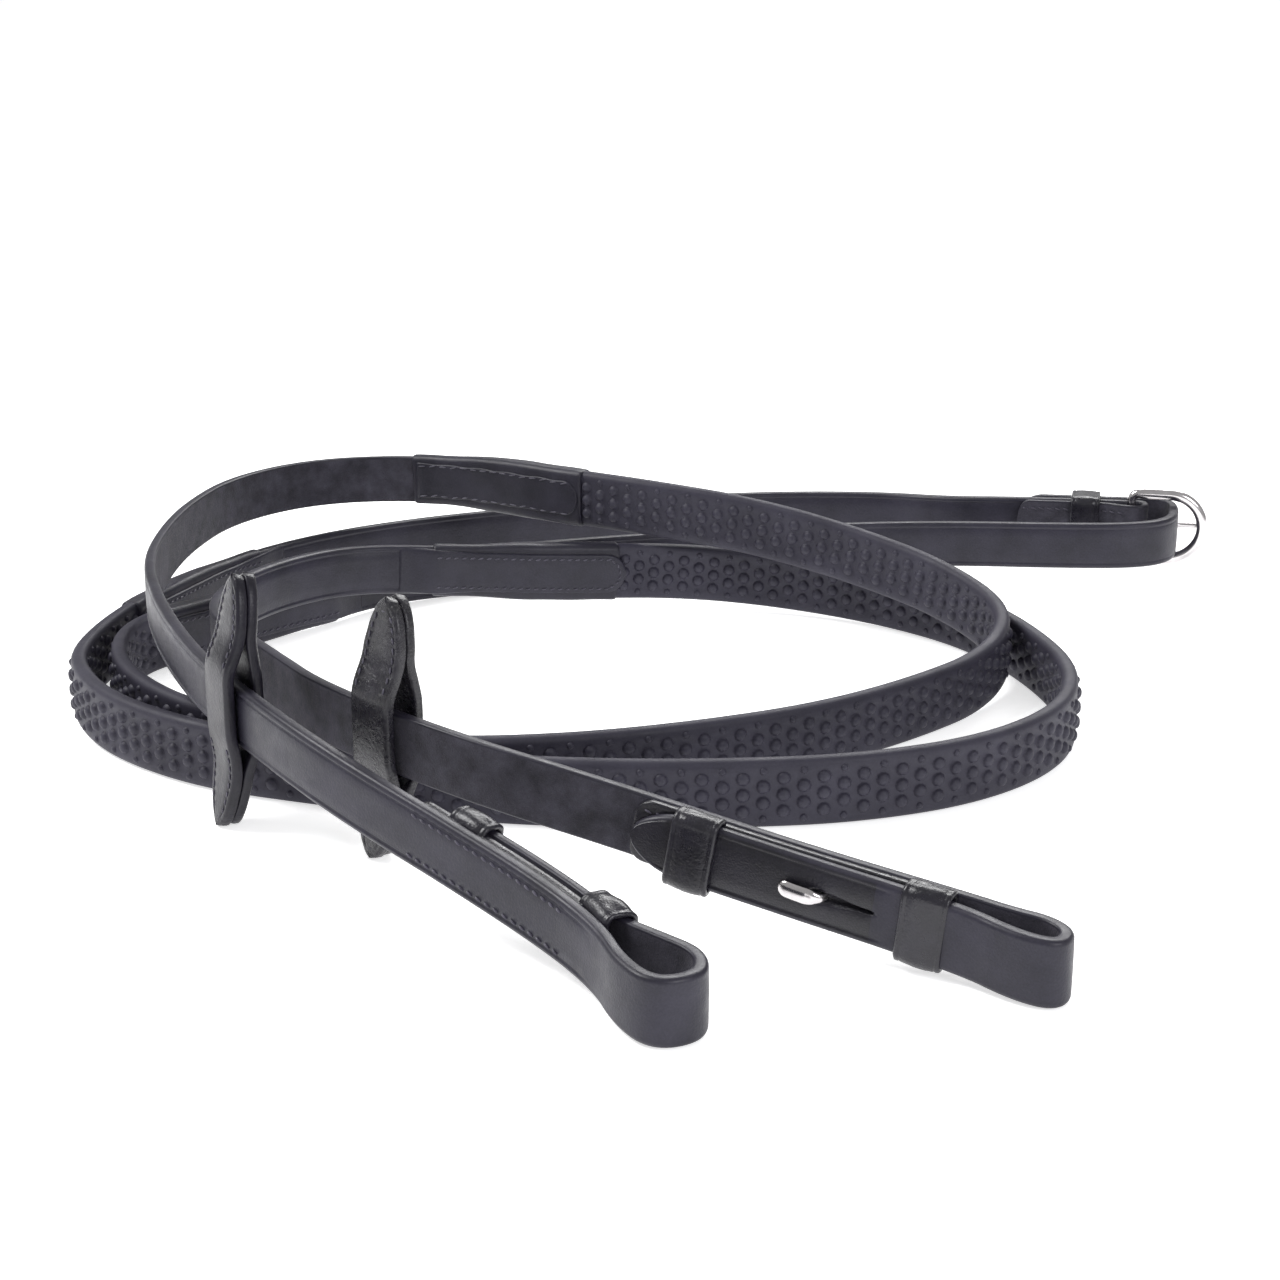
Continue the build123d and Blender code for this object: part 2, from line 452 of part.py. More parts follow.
with BuildPart() as right_wrap_rear:
    path = joint_route(right_grip_pts, right_hand_pts)
    with BuildSketch(upright(path @ 0, path % 0)):
        RectangleRounded(WRAP_T, WRAP_W, 1.5)
        RectangleRounded(STRAP_T + SLEEVE_GAP, STRAP_W + SLEEVE_GAP, 0.6, mode=Mode.SUBTRACT)
    sweep(path=path, binormal=guide(path))
    with BuildSketch(beyond(right_grip_tail, 14.0)):
        Rectangle(120, 120)
    extrude(amount=120, mode=Mode.SUBTRACT)
    with BuildSketch(beyond(right_hand_head, 56.0)):
        Rectangle(120, 120)
    extrude(amount=150, mode=Mode.SUBTRACT)

with BuildPart() as left_grip_rubber:
    with BuildSketch(upright(left_grip_route @ 0, left_grip_route % 0)):
        RectangleRounded(GRIP_T, GRIP_W, 1.2)
        RectangleRounded(CORE_T, CORE_W, 0.5, mode=Mode.SUBTRACT)
    sweep(path=left_grip_route, binormal=guide(left_grip_route))
    with BuildSketch(beyond(left_grip_head, 58.0)):
        with Locations((0, 0)):
            Rectangle(24, 40)
    extrude(amount=-75, mode=Mode.SUBTRACT)
    with BuildSketch(beyond(left_grip_tail, 40.0)):
        Rectangle(24, 40)
    extrude(amount=-60, mode=Mode.SUBTRACT)

with BuildPart() as right_grip_rubber:
    with BuildSketch(upright(right_grip_route @ 0, right_grip_route % 0)):
        RectangleRounded(GRIP_T, GRIP_W, 1.2)
        RectangleRounded(CORE_T, CORE_W, 0.5, mode=Mode.SUBTRACT)
    sweep(path=right_grip_route, binormal=guide(right_grip_route))
    with BuildSketch(beyond(right_grip_head, 31.0)):
        Rectangle(24, 40)
    extrude(amount=-60, mode=Mode.SUBTRACT)
    with BuildSketch(beyond(right_grip_tail, 14.0)):
        Rectangle(24, 40)
    extrude(amount=-40, mode=Mode.SUBTRACT)

# ---------------------------------------------------------------- buckle
INNER_H = FRAME_H - 2 * WIRE
with BuildPart() as buckle_frame:
    with BuildSketch(Plane(origin=buckle_plane.origin - buckle_plane.z_dir * WIRE / 2, x_dir=buckle_plane.x_dir, z_dir=buckle_plane.z_dir)):
        with BuildLine():
            r = FRAME_H / 2
            Polyline((FRAME_L - BAR_R - r, r), (-BAR_R, r), (-BAR_R, -r), (FRAME_L - BAR_R - r, -r))
            ThreePointArc((FRAME_L - BAR_R - r, -r), (FRAME_L - BAR_R, 0), (FRAME_L - BAR_R - r, r))
        make_face()
        with BuildLine(mode=Mode.PRIVATE) as hole_line:
            r = INNER_H / 2
            Polyline((FRAME_L - BAR_R - WIRE - r, r), (BAR_R, r), (BAR_R, -r), (FRAME_L - BAR_R - WIRE - r, -r))
            ThreePointArc((FRAME_L - BAR_R - WIRE - r, -r), (FRAME_L - BAR_R - WIRE, 0), (FRAME_L - BAR_R - WIRE - r, r))
        make_face(hole_line.edges(), mode=Mode.SUBTRACT)
    extrude(amount=WIRE)
    # the bar is round between the two shoulders
    with BuildSketch(Plane(origin=buckle_plane.origin - buckle_plane.y_dir * INNER_H / 2, x_dir=buckle_plane.x_dir, z_dir=buckle_plane.y_dir)):
        Rectangle(2 * BAR_R + 0.02, WIRE + 1)
        Circle(BAR_R, mode=Mode.SUBTRACT)
    extrude(amount=INNER_H, mode=Mode.SUBTRACT)

TONGUE_IN, TONGUE_OUT = BAR_R + 0.08, BAR_R + 1.9
with BuildPart() as buckle_tongue:
    with BuildSketch(Plane(origin=buckle_plane.origin - buckle_plane.y_dir * TONGUE_R, x_dir=buckle_plane.x_dir, z_dir=buckle_plane.y_dir)):
        Circle(TONGUE_OUT)
        Circle(TONGUE_IN, mode=Mode.SUBTRACT)
    extrude(amount=2 * TONGUE_R)
    with BuildLine() as pin:
        Line(buckle_plane.from_local_coords((2.6, 0, 0)), buckle_plane.from_local_coords((20.0, 0, -WIRE / 2 - TONGUE_R - 0.35)))
        Line(buckle_plane.from_local_coords((20.0, 0, -WIRE / 2 - TONGUE_R - 0.35)), buckle_plane.from_local_coords((FRAME_L - BAR_R - 0.4, 0, -WIRE / 2 - TONGUE_R - 0.35)))
    with BuildSketch(Plane(origin=pin.edges()[0] @ 0, z_dir=pin.edges()[0] % 0)):
        Circle(TONGUE_R)
    sweep(path=pin.wires()[0], transition=Transition.ROUND)

BUCKLE_KEEPER_IN = (3 * STRAP_T + 2.1, STRAP_W + 1.0)
with BuildPart() as buckle_keeper:
    K = buckle_point(-16.2, 3.4)
    a = math.radians(BUCKLE_TURN)
    with BuildSketch(Plane(origin=(K[0] - ORIGIN[0] - 5.0 * math.cos(a), K[1] - ORIGIN[1] - 5.0 * math.sin(a), 5.4 + STRAP_W / 2),
                           x_dir=(-math.sin(a), math.cos(a), 0), z_dir=(math.cos(a), math.sin(a), 0))):
        RectangleRounded(BUCKLE_KEEPER_IN[0] + 2 * KEEPER_T, BUCKLE_KEEPER_IN[1] + 2 * KEEPER_T, 1.8)
        RectangleRounded(BUCKLE_KEEPER_IN[0], BUCKLE_KEEPER_IN[1], 0.6, mode=Mode.SUBTRACT)
    extrude(amount=10.0)

# ---------------------------------------------------------------- labels and files
pieces = {
    "left_front_strap": left_front_strap, "left_stud_backing": left_stud_backing, "left_hook_stud": left_hook_stud,
    "left_runner": left_runner, "left_keeper": left_keeper, "left_stop_outer_leaf": left_stop_outer_leaf,
    "left_stop_inner_leaf": left_stop_inner_leaf, "left_wrap_front": left_wrap_front, "left_grip_core": left_grip_core,
    "left_grip_rubber": left_grip_rubber, "left_wrap_rear": left_wrap_rear, "left_hand_strap": left_hand_strap,
    "right_front_strap": right_front_strap, "right_stud_backing": right_stud_backing, "right_hook_stud": right_hook_stud,
    "right_runner": right_runner, "right_keeper": right_keeper, "right_stop_outer_leaf": right_stop_outer_leaf,
    "right_stop_inner_leaf": right_stop_inner_leaf, "right_wrap_front": right_wrap_front, "right_grip_core": right_grip_core,
    "right_grip_rubber": right_grip_rubber, "right_wrap_rear": right_wrap_rear, "right_hand_strap": right_hand_strap,
    "buckle_frame": buckle_frame, "buckle_tongue": buckle_tongue, "buckle_keeper": buckle_keeper,
}
for name, piece in pieces.items():
    piece.part.label = name
    export_step(piece.part, f"parts/{name}.step")
    print(f"{name:24s} solids {len(piece.solids())} volume {piece.part.volume:9.1f} valid {piece.part.is_valid}")

for name, wire, pts, area in (("left front", left_front_route, left_front_pts, STRAP_W * STRAP_T),
                              ("left grip", left_grip_route, left_grip_pts, CORE_W * CORE_T),
                              ("left hand", left_hand_route, left_hand_pts, STRAP_W * STRAP_T),
                              ("right front", right_front_route, right_front_pts, STRAP_W * STRAP_T),
                              ("right grip", right_grip_route, right_grip_pts, CORE_W * CORE_T),
                              ("right hand", right_hand_route, right_hand_pts, STRAP_W * STRAP_T)):
    print(f"{name:12s} length {wire.length:7.1f} section x length {wire.length * area:9.0f} smallest radii {sorted(round(r, 1) for r in radii(pts))[:5]}")
for name, p in (("left stop", left_stop_plane), ("right stop", right_stop_plane), ("left runner", left_runner_plane),
                ("right runner", right_runner_plane), ("buckle", buckle_plane)):
    print(f"{name:12s} at {tuple(round(v, 2) for v in p.origin)} along {tuple(round(v, 4) for v in p.z_dir)} x {tuple(round(v, 4) for v in p.x_dir)}")
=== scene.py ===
import math

import bpy
import numpy as np
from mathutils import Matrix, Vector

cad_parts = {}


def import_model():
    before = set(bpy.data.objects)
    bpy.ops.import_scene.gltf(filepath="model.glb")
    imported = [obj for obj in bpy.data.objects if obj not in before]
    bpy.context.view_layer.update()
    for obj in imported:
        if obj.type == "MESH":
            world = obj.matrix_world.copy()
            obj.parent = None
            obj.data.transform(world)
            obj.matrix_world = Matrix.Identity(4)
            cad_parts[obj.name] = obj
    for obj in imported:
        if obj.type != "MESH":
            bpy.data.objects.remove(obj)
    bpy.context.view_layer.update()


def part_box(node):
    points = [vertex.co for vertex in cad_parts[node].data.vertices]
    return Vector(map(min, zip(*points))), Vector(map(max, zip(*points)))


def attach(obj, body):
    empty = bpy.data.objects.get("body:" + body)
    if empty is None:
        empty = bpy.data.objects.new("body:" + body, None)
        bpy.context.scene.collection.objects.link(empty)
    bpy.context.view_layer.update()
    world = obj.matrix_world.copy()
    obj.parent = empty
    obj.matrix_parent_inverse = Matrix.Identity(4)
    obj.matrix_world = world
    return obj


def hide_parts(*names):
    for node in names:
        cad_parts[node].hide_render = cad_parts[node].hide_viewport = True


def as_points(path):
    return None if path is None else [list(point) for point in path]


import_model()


# ------------------------------------------------------------------ sizes, in millimetres
STRAP_W, STRAP_T = 16.0, 3.2
GRIP_W, GRIP_T = 18.6, 4.7
FOLD = 5.6
ORIGIN = (37.73, 2.44)
BUCKLE = (195.5, 167.0)
BUCKLE_TURN = math.radians(-12.0)

# Routes: plan x, plan y, height of the strap's lower edge.
LEFT_FRONT = [(-27.6, -131.2, 13.2), (-18.4, -138.9, 10.8), (3.6, -158.2, 4.9), (15.6, -173.6, 2.2),
              (23.8, -179.2, 1.2), (33.2, -186.4, 0.4), (33.0, -196.4, 0.1), (23.0, -200.0, 0.1), (16.0, -191.0, 0.9),
              (11.5, -178.0, 2.2), (-0.5, -162.0, 4.9), (-22.0, -143.2, 10.8), (-46.5, -122.8, 17.2),
              (-66.0, -104.0, 22.4), (-92.5, -60.0, 22.4), (-105.3, -33.5, 23.4), (-115.6, -7.6, 24.4),
              (-125.2, 24.9, 25.0), (-127.8, 58.4, 25.0), (-126.0, 92.9, 25.0), (-117.7, 126.8, 25.0),
              (-95.0, 151.9, 25.0), (-62.6, 158.6, 25.0), (-47.0, 151.0, 25.85)]
LEFT_GRIP = [(-47.0, 151.0, 24.55), (-31.4, 143.4, 25.4), (-2.9, 122.9, 26.1), (25.9, 106.4, 26.0), (57.9, 96.3, 22.9),
             (89.2, 83.6, 16.8), (116.2, 62.8, 11.2), (131.8, 34.0, 5.6), (121.5, 8.0, 0.6), (96.2, -17.0, 0.0),
             (68.6, -37.7, 0.0), (38.0, -51.2, 0.0), (5.5, -61.0, 0.0), (-28.3, -64.6, 0.0), (-61.4, -58.6, 0.0),
             (-91.6, -43.6, 0.0), (-117.0, -20.8, 0.0), (-133.8, 10.5, 0.0), (-134.3, 42.0, 0.0),
             (-111.0, 64.8, 0.2), (-98.3, 75.7, 0.2)]
LEFT_HAND = [(-98.3, 75.7, 1.5), (-85.6, 86.6, 1.5), (-64.8, 113.2, 0.8), (-33.7, 128.1, 0.0), (-1.3, 139.4, 0.0),
             (31.4, 147.7, 0.0), (64.6, 154.8, 0.0), (97.6, 159.2, 0.4), (131.7, 156.1, 1.6), (165.8, 146.2, 3.6)]
RIGHT_FRONT = [(18.3, -135.6, 13.9), (51.3, -148.5, 7.4), (90.2, -168.0, 2.2), (100.6, -178.2, 0.8),
               (109.2, -182.2, 0.1), (113.0, -176.6, 0.1), (109.7, -170.4, 0.4), (101.5, -166.8, 1.1),
               (93.0, -162.2, 2.2), (53.5, -143.4, 7.4), (12.5, -127.3, 15.5), (-24.0, -114.5, 22.4),
               (-60.0, -78.0, 22.4), (-75.5, -54.5, 23.0), (-88.5, -30.0, 21.2), (-102.1, -1.8, 17.7),
               (-104.8, 33.6, 14.8), (-94.0, 66.8, 12.9), (-72.3, 90.1, 11.6), (-35.4, 93.4, 9.9),
               (-17.7, 97.65, 8.6)]
RIGHT_GRIP = [(-17.7, 97.65, 7.3), (0.0, 101.9, 6.0), (33.6, 112.3, 3.2), (67.6, 107.0, 1.4), (100.4, 90.6, 0.2),
              (124.8, 65.6, 0.0), (138.5, 31.6, 0.0), (144.5, -4.3, 0.0), (135.8, -37.5, 0.0), (110.8, -62.9, 0.0),
              (77.7, -76.5, 0.0), (42.5, -80.6, 0.0), (6.9, -80.3, 0.0), (-27.3, -75.6, 0.0), (-60.7, -66.0, 0.0),
              (-96.2, -53.4, 0.0), (-124.3, -31.0, 0.0), (-138.9, -7.5, 0.0), (-144.9, 14.0, 0.0),
              (-140.2, 50.4, 0.1), (-133.5, 68.3, 0.15)]
RIGHT_HAND = [(-133.5, 68.3, 1.45), (-126.8, 86.2, 1.5), (-110.9, 117.5, 1.5), (-87.3, 143.1, 1.4), (-58.8, 164.3, 0.5),
              (-27.3, 179.5, 0.0), (6.3, 190.7, 0.0), (40.2, 199.9, 0.0), (75.2, 204.8, 0.0), (110.4, 200.6, 0.8)]
LEFT_END = [(1.5, -27.2, 5.2), (13.5, -18.5, 5.5), (15.2, -3.0, 5.5), (13.0, 9.6, 5.5), (-3.0, 7.4, 5.5),
            (-21.0, 7.0, 5.4), (-40.0, 7.2, 5.0)]
RIGHT_END = [(-67.0, 6.8, 2.6), (-45.0, 3.6, 4.4), (-21.0, 3.5, 5.2), (-9.0, 3.4, 5.4), (-1.5, 3.3, 5.5), (4.6, 4.2, 5.5),
             (4.6, -4.2, 5.5), (-3.0, -3.4, 5.5), (-9.6, -0.5, 5.4), (-24.0, -0.5, 5.2), (-40.0, -0.1, 4.7)]


def buckle_point(u, v):
    c, s = math.cos(BUCKLE_TURN), math.sin(BUCKLE_TURN)
    return (BUCKLE[0] + u * c - v * s, BUCKLE[1] + u * s + v * c)


LEFT_HAND += [buckle_point(u, v) + (z,) for u, v, z in LEFT_END]
RIGHT_HAND += [buckle_point(u, v) + (z,) for u, v, z in RIGHT_END]

# ------------------------------------------------------------------ camera
camera_data = bpy.data.cameras.new("camera")
camera_data.lens, camera_data.sensor_width = 64.69, 36.0
camera = bpy.data.objects.new("camera", camera_data)
bpy.context.scene.collection.objects.link(camera)
camera.location = (0.02031 - ORIGIN[0] / 1000, -0.62744 - ORIGIN[1] / 1000, 0.22827)
camera.rotation_euler = (math.radians(72), 0, 0)
bpy.context.scene.camera = camera


# ------------------------------------------------------------------ materials
def srgb(r, g, b):
    return tuple((c / 255 / 12.92 if c / 255 <= 0.04045 else ((c / 255 + 0.055) / 1.055) ** 2.4) for c in (r, g, b)) + (1.0,)


def material(name, dark, light, rough, spread=0.07, patch=70, metallic=0.0, specular=0.5, coat=0.0, coat_rough=0.3,
             sheen=0.0, bumps=()):
    """bumps: (kind, cells per metre, height in mm, strength)."""
    m = bpy.data.materials.new(name)
    m.use_nodes = True
    nt = m.node_tree
    b = nt.nodes["Principled BSDF"]
    b.inputs["Metallic"].default_value = metallic
    b.inputs["Specular IOR Level"].default_value = specular
    b.inputs["Coat Weight"].default_value = coat
    b.inputs["Coat Roughness"].default_value = coat_rough
    b.inputs["Sheen Weight"].default_value = sheen
    b.inputs["Sheen Roughness"].default_value = 0.5
    co = nt.nodes.new("ShaderNodeTexCoord").outputs["Object"]

    def noise(scale, detail=3.0, rough=0.55, distort=0.0):
        n = nt.nodes.new("ShaderNodeTexNoise")
        n.inputs["Scale"].default_value = scale
        n.inputs["Detail"].default_value = detail
        n.inputs["Roughness"].default_value = rough
        n.inputs["Distortion"].default_value = distort
        nt.links.new(co, n.inputs["Vector"])
        return n.outputs["Fac"]

    broad, fine = noise(patch, 4), noise(patch * 28, 2)
    both = nt.nodes.new("ShaderNodeMath")
    both.operation = "MULTIPLY_ADD"
    nt.links.new(fine, both.inputs[0])
    both.inputs[1].default_value = 0.45
    nt.links.new(broad, both.inputs[2])
    ramp = nt.nodes.new("ShaderNodeValToRGB")
    ramp.color_ramp.elements[0].position, ramp.color_ramp.elements[1].position = 0.45, 0.98
    ramp.color_ramp.elements[0].color, ramp.color_ramp.elements[1].color = dark, light
    nt.links.new(both.outputs[0], ramp.inputs["Fac"])
    nt.links.new(ramp.outputs["Color"], b.inputs["Base Color"])
    span = nt.nodes.new("ShaderNodeMapRange")
    span.inputs["From Min"].default_value, span.inputs["From Max"].default_value = 0.3, 0.7
    span.inputs["To Min"].default_value, span.inputs["To Max"].default_value = rough - spread, rough + spread
    nt.links.new(noise(patch * 2.3, 5, 0.65), span.inputs["Value"])
    nt.links.new(span.outputs["Result"], b.inputs["Roughness"])
    last = None
    for kind, cells, height, strength in bumps:
        if kind == "cell":
            v = nt.nodes.new("ShaderNodeTexVoronoi")
            v.feature = "SMOOTH_F1"
            v.inputs["Scale"].default_value = cells
            v.inputs["Smoothness"].default_value = 0.35
            nt.links.new(co, v.inputs["Vector"])
            h = v.outputs["Distance"]
        elif kind == "crinkle":
            h = noise(cells, 6, 0.62, 1.6)
        else:
            h = noise(cells, 3)
        bump = nt.nodes.new("ShaderNodeBump")
        bump.inputs["Distance"].default_value = height / 1000
        bump.inputs["Strength"].default_value = strength
        bump.invert = kind == "cell"
        nt.links.new(h, bump.inputs["Height"])
        if last is not None:
            nt.links.new(last, bump.inputs["Normal"])
        last = bump.outputs["Normal"]
    if last is not None:
        nt.links.new(last, b.inputs["Normal"])
    return m


GRAIN = material("strap_grain", srgb(25, 24, 34), srgb(45, 43, 56), 0.45, specular=0.34, coat=0.05, coat_rough=0.34,
                 bumps=(("cell", 1500, 0.14, 0.32), ("noise", 3600, 0.08, 0.5), ("noise", 260, 0.3, 0.16)))
FLESH = material("strap_flesh", srgb(29, 28, 35), srgb(70, 68, 79), 0.74, 0.08, patch=150, specular=0.28, sheen=0.08,
                 bumps=(("noise", 2600, 0.3, 0.8), ("noise", 900, 0.3, 0.4)))
EDGE = material("strap_edge", srgb(24, 23, 32), srgb(46, 44, 56), 0.42, specular=0.34, coat=0.06, coat_rough=0.3,
                bumps=(("noise", 1400, 0.1, 0.4),))
GLOSS = material("billet_grain", srgb(14, 13, 19), srgb(34, 32, 42), 0.36, 0.06, specular=0.36, coat=0.12, coat_rough=0.26,
                 bumps=(("cell", 2300, 0.14, 0.55), ("noise", 4200, 0.08, 0.7), ("crinkle", 420, 0.35, 0.25)))
TRIM = material("trim_leather", srgb(16, 15, 21), srgb(38, 36, 46), 0.31, 0.07, patch=120, specular=0.4, coat=0.18, coat_rough=0.24,
                bumps=(("cell", 1700, 0.14, 0.42), ("crinkle", 380, 0.4, 0.42)))
STOP = material("stop_leather", srgb(15, 14, 21), srgb(34, 32, 42), 0.36, 0.07, patch=90, specular=0.3, coat=0.08, coat_rough=0.26,
                bumps=(("cell", 1500, 0.14, 0.35), ("crinkle", 240, 0.4, 0.26)))
STOP_CREASED = material("stop_leather_creased", srgb(14, 13, 18), srgb(36, 34, 43), 0.28, 0.08, patch=130, specular=0.42, coat=0.3,
                        coat_rough=0.2, bumps=(("crinkle", 330, 0.75, 0.6), ("cell", 1300, 0.14, 0.4)))
WRAP = material("wrap_leather", srgb(24, 23, 32), srgb(44, 42, 54), 0.46, 0.07, specular=0.34, coat=0.05, coat_rough=0.35,
                bumps=(("cell", 1900, 0.1, 0.32), ("crinkle", 210, 0.4, 0.25)))
RUBBER = material("grip_rubber", srgb(36, 34, 46), srgb(52, 50, 63), 0.58, 0.05, patch=60, specular=0.38,
                  bumps=(("noise", 3000, 0.05, 0.35), ("noise", 500, 0.06, 0.2)))
# stitch thread: the real thread is black like the leather; this colour is lighter than the leather as a painted
# highlight, so the stitches read as light dashes
THREAD_PAINTED_HIGHLIGHT = material("thread_painted_highlight", srgb(44, 42, 54), srgb(84, 81, 95), 0.45, 0.05, patch=900, specular=0.45, sheen=0.1,
                  bumps=(("noise", 5200, 0.1, 0.6),))
STEEL = material("steel", srgb(196, 192, 193), srgb(226, 223, 224), 0.17, 0.05, patch=160, metallic=1.0,
                 bumps=(("noise", 1800, 0.02, 0.12),))


# ------------------------------------------------------------------ lines
def place(x, y, z):
    return (np.array([x - ORIGIN[0], y - ORIGIN[1], z], float)) / 1000


def spline(name, points, width):
    """Points along the NURBS line of a route, in metres in the row frame."""
    curve = bpy.data.curves.new(name, "CURVE")
    curve.dimensions = "3D"
    sp = curve.splines.new("NURBS")
    sp.points.add(len(points) - 1)
    for p, (x, y, z) in zip(sp.points, points):
        p.co = (*place(x, y, z + width / 2), 1.0)
    sp.order_u = 3
    sp.use_endpoint_u = True
    sp.resolution_u = 40
    holder = bpy.data.objects.new(name, curve)
    mesh = bpy.data.meshes.new_from_object(holder)
    line = np.array([v.co for v in mesh.vertices], float)
    bpy.data.meshes.remove(mesh)
    bpy.data.objects.remove(holder)
    bpy.data.curves.remove(curve)
    return line


class Line:
    """A line with places looked up by distance along it, in millimetres."""

    def __init__(self, points):
        self.points = points
        self.along = np.concatenate([[0], np.cumsum(np.linalg.norm(np.diff(points, axis=0), axis=1))]) * 1000
        self.length = float(self.along[-1])

    def at(self, s):
        s = np.atleast_1d(np.asarray(s, float))
        e = 1.2
        lo, hi = np.clip(s - e, 0, self.length), np.clip(s + e, 0, self.length)
        get = lambda t: np.stack([np.interp(t, self.along, self.points[:, k]) for k in range(3)], 1)
        p, d = get(s), get(hi) - get(lo)
        d /= np.linalg.norm(d, axis=1)[:, None]
        n = np.stack([-d[:, 1], d[:, 0], np.zeros(len(d))], 1)
        n /= np.linalg.norm(n, axis=1)[:, None]
        return p, d, n, np.cross(d, n)

    def nearest(self, point, low=0.0, high=None):
        """Distance along at which the line passes nearest to a place in plan, between low and high."""
        high = self.length if high is None else high
        s = np.linspace(low, high, 2400)
        p = self.at(s)[0]
        return float(s[np.argmin(np.linalg.norm(p[:, :2] - np.array(point[:2]), axis=1))])


left_front = Line(spline("left_front", LEFT_FRONT, STRAP_W))
left_grip = Line(spline("left_grip", LEFT_GRIP, 18.6))
left_hand = Line(spline("left_hand", LEFT_HAND, STRAP_W))
right_front = Line(spline("right_front", RIGHT_FRONT, STRAP_W))
right_grip = Line(spline("right_grip", RIGHT_GRIP, 18.6))
right_hand = Line(spline("right_hand", RIGHT_HAND, STRAP_W))


def joined(a, b):
    return Line(np.concatenate([a.points, b.points[1:]]))


# ------------------------------------------------------------------ mesh making
def obj(name, verts, faces, mats, index=None, smooth=True):
    mesh = bpy.data.meshes.new(name)
    mesh.from_pydata([tuple(v) for v in np.asarray(verts)], [], [tuple(int(i) for i in f) for f in faces])
    for m in mats:
        mesh.materials.append(m)
    if index is not None:
        mesh.polygons.foreach_set("material_index", np.asarray(index, np.int32))
    if smooth:
        mesh.polygons.foreach_set("use_smooth", np.ones(len(mesh.polygons), bool))
    mesh.update()
    mesh.validate()
    o = bpy.data.objects.new(name, mesh)
    bpy.context.scene.collection.objects.link(o)
    return o


class Build:
    """Collects parts of one mesh."""

    def __init__(self):
        self.v, self.f, self.m, self.n = [], [], [], 0

    def add(self, verts, faces, mat=0):
        self.v.append(np.asarray(verts, float))
        faces = [tuple(i + self.n for i in f) for f in faces]
        self.f += faces
        self.m += list(mat) if isinstance(mat, (list, np.ndarray)) else [mat] * len(faces)
        self.n += len(verts)

    def done(self, name, mats):
        return obj(name, np.concatenate(self.v), self.f, mats, self.m)


def skin(rings, mat=None, closed=False, ends=True):
    """Faces over rings (k, m, 3) of points, with each end closed by a fan."""
    k, m, _ = rings.shape
    verts = rings.reshape(-1, 3)
    faces, index = [], []
    for i in range(k if closed else k - 1):
        a, b = i * m, ((i + 1) % k) * m
        for j in range(m):
            j2 = (j + 1) % m
            faces.append((a + j, a + j2, b + j2, b + j))
            index.append(0 if mat is None else mat[i][j] if isinstance(mat, list) and hasattr(mat[0], "__len__") else mat[j])
    if ends and not closed:
        c0, c1 = len(verts), len(verts) + 1
        verts = np.concatenate([verts, rings[0].mean(0)[None], rings[-1].mean(0)[None]])
        for j in range(m):
            j2 = (j + 1) % m
            faces.append((c0, j2, j))
            faces.append((c1, (k - 1) * m + j, (k - 1) * m + j2))
            index += [index[0], index[0]]
    return verts, faces, index


def outward(o):
    """Makes the faces of a closed mesh point outwards."""
    import bmesh
    bm = bmesh.new()
    bm.from_mesh(o.data)
    bmesh.ops.recalc_face_normals(bm, faces=bm.faces)
    bm.to_mesh(o.data)
    bm.free()
    return o


def smoothstep(x, a, b):
    t = np.clip((x - a) / (b - a), 0, 1)
    return t * t * (3 - 2 * t)


def corner(cn, cu, r, a0, a1, k=5):
    return [(cn + r * math.cos(a), cu + r * math.sin(a)) for a in np.linspace(a0, a1, k)]


def strap_section(t, w, grooves=(), r=1.15, crown=0.14, slit=0.0, slit_half=0.6, flesh_r=0.6):
    """One ring (thickness, width) of a strap, grain side towards +n, with its material tags. Each groove is (place from
    the middle, depth, half width)."""
    h, e = w / 2, t / 2
    r = min(r, e * 0.95, h * 0.9)
    fr = min(flesh_r, e * 0.9, h * 0.5)
    pts, tag = [], []
    marks = sorted({round(x, 3) for g in (7.6 - 1.2, ) for x in ()} | set())
    flats = [-1.0, -0.86, -0.7, -0.5, -0.3]
    us = []
    for place_, depth, half in sorted(grooves):
        us += [(place_ - half * 1.5, 0.0), (place_ - half * 0.75, 0.45 * depth), (place_, depth), (place_ + half * 0.75, 0.45 * depth),
               (place_ + half * 1.5, 0.0)]
    us += [(-slit_half * 1.5 - 0.25, 0.0), (-slit_half - 0.12, 0.1 * slit), (-slit_half, slit), (0.0, slit), (slit_half, slit),
           (slit_half + 0.12, 0.1 * slit), (slit_half * 1.5 + 0.25, 0.0)]
    lim = h - r
    us = [(u * (w / STRAP_W if abs(u) > 2 else min(1.0, w / 6)), d) for u, d in us]
    us += [(-lim, 0.0), (lim, 0.0), (-lim * 0.45, 0.0), (lim * 0.45, 0.0)]
    us = [(float(np.clip(u, -lim, lim)), d) for u, d in us]
    for u, d in sorted(us):
        pts.append((e + crown * (1 - (u / h) ** 2) - d, u))
        tag.append(0)
    top = corner(e - r, h - r, r, 0, math.pi / 2, 5)[1:]
    pts += top
    tag += [1] * (len(top))
    back = corner(-e + fr, h - fr, fr, math.pi / 2, math.pi, 4)
    pts += back
    tag += [1] * (len(back) - 1) + [2]
    for u in np.linspace(h - fr, -h + fr, 6)[1:-1]:
        pts.append((-e, float(u)))
        tag.append(2)
    back = corner(-e + fr, -h + fr, fr, math.pi, 1.5 * math.pi, 4)
    pts += back
    tag += [1] * len(back)
    low = corner(e - r, -h + r, r, 1.5 * math.pi, 2 * math.pi, 5)[:-1]
    pts += low
    tag += [1] * len(low)
    return np.array(pts), tag


def rings_of(line, s, section, flip=1, shift=None):
    """Rings of a section at the places s of a line. section(s) gives (n, u) points; flip -1 turns the grain side over."""
    p, d, n, u = line.at(s)
    out = []
    for i in range(len(s)):
        q = section(float(s[i]))
        a = q[:, 0] * flip
        out.append(p[i] + (a[:, None] * n[i] + q[:, 1][:, None] * u[i]) / 1000)
    return np.array(out)


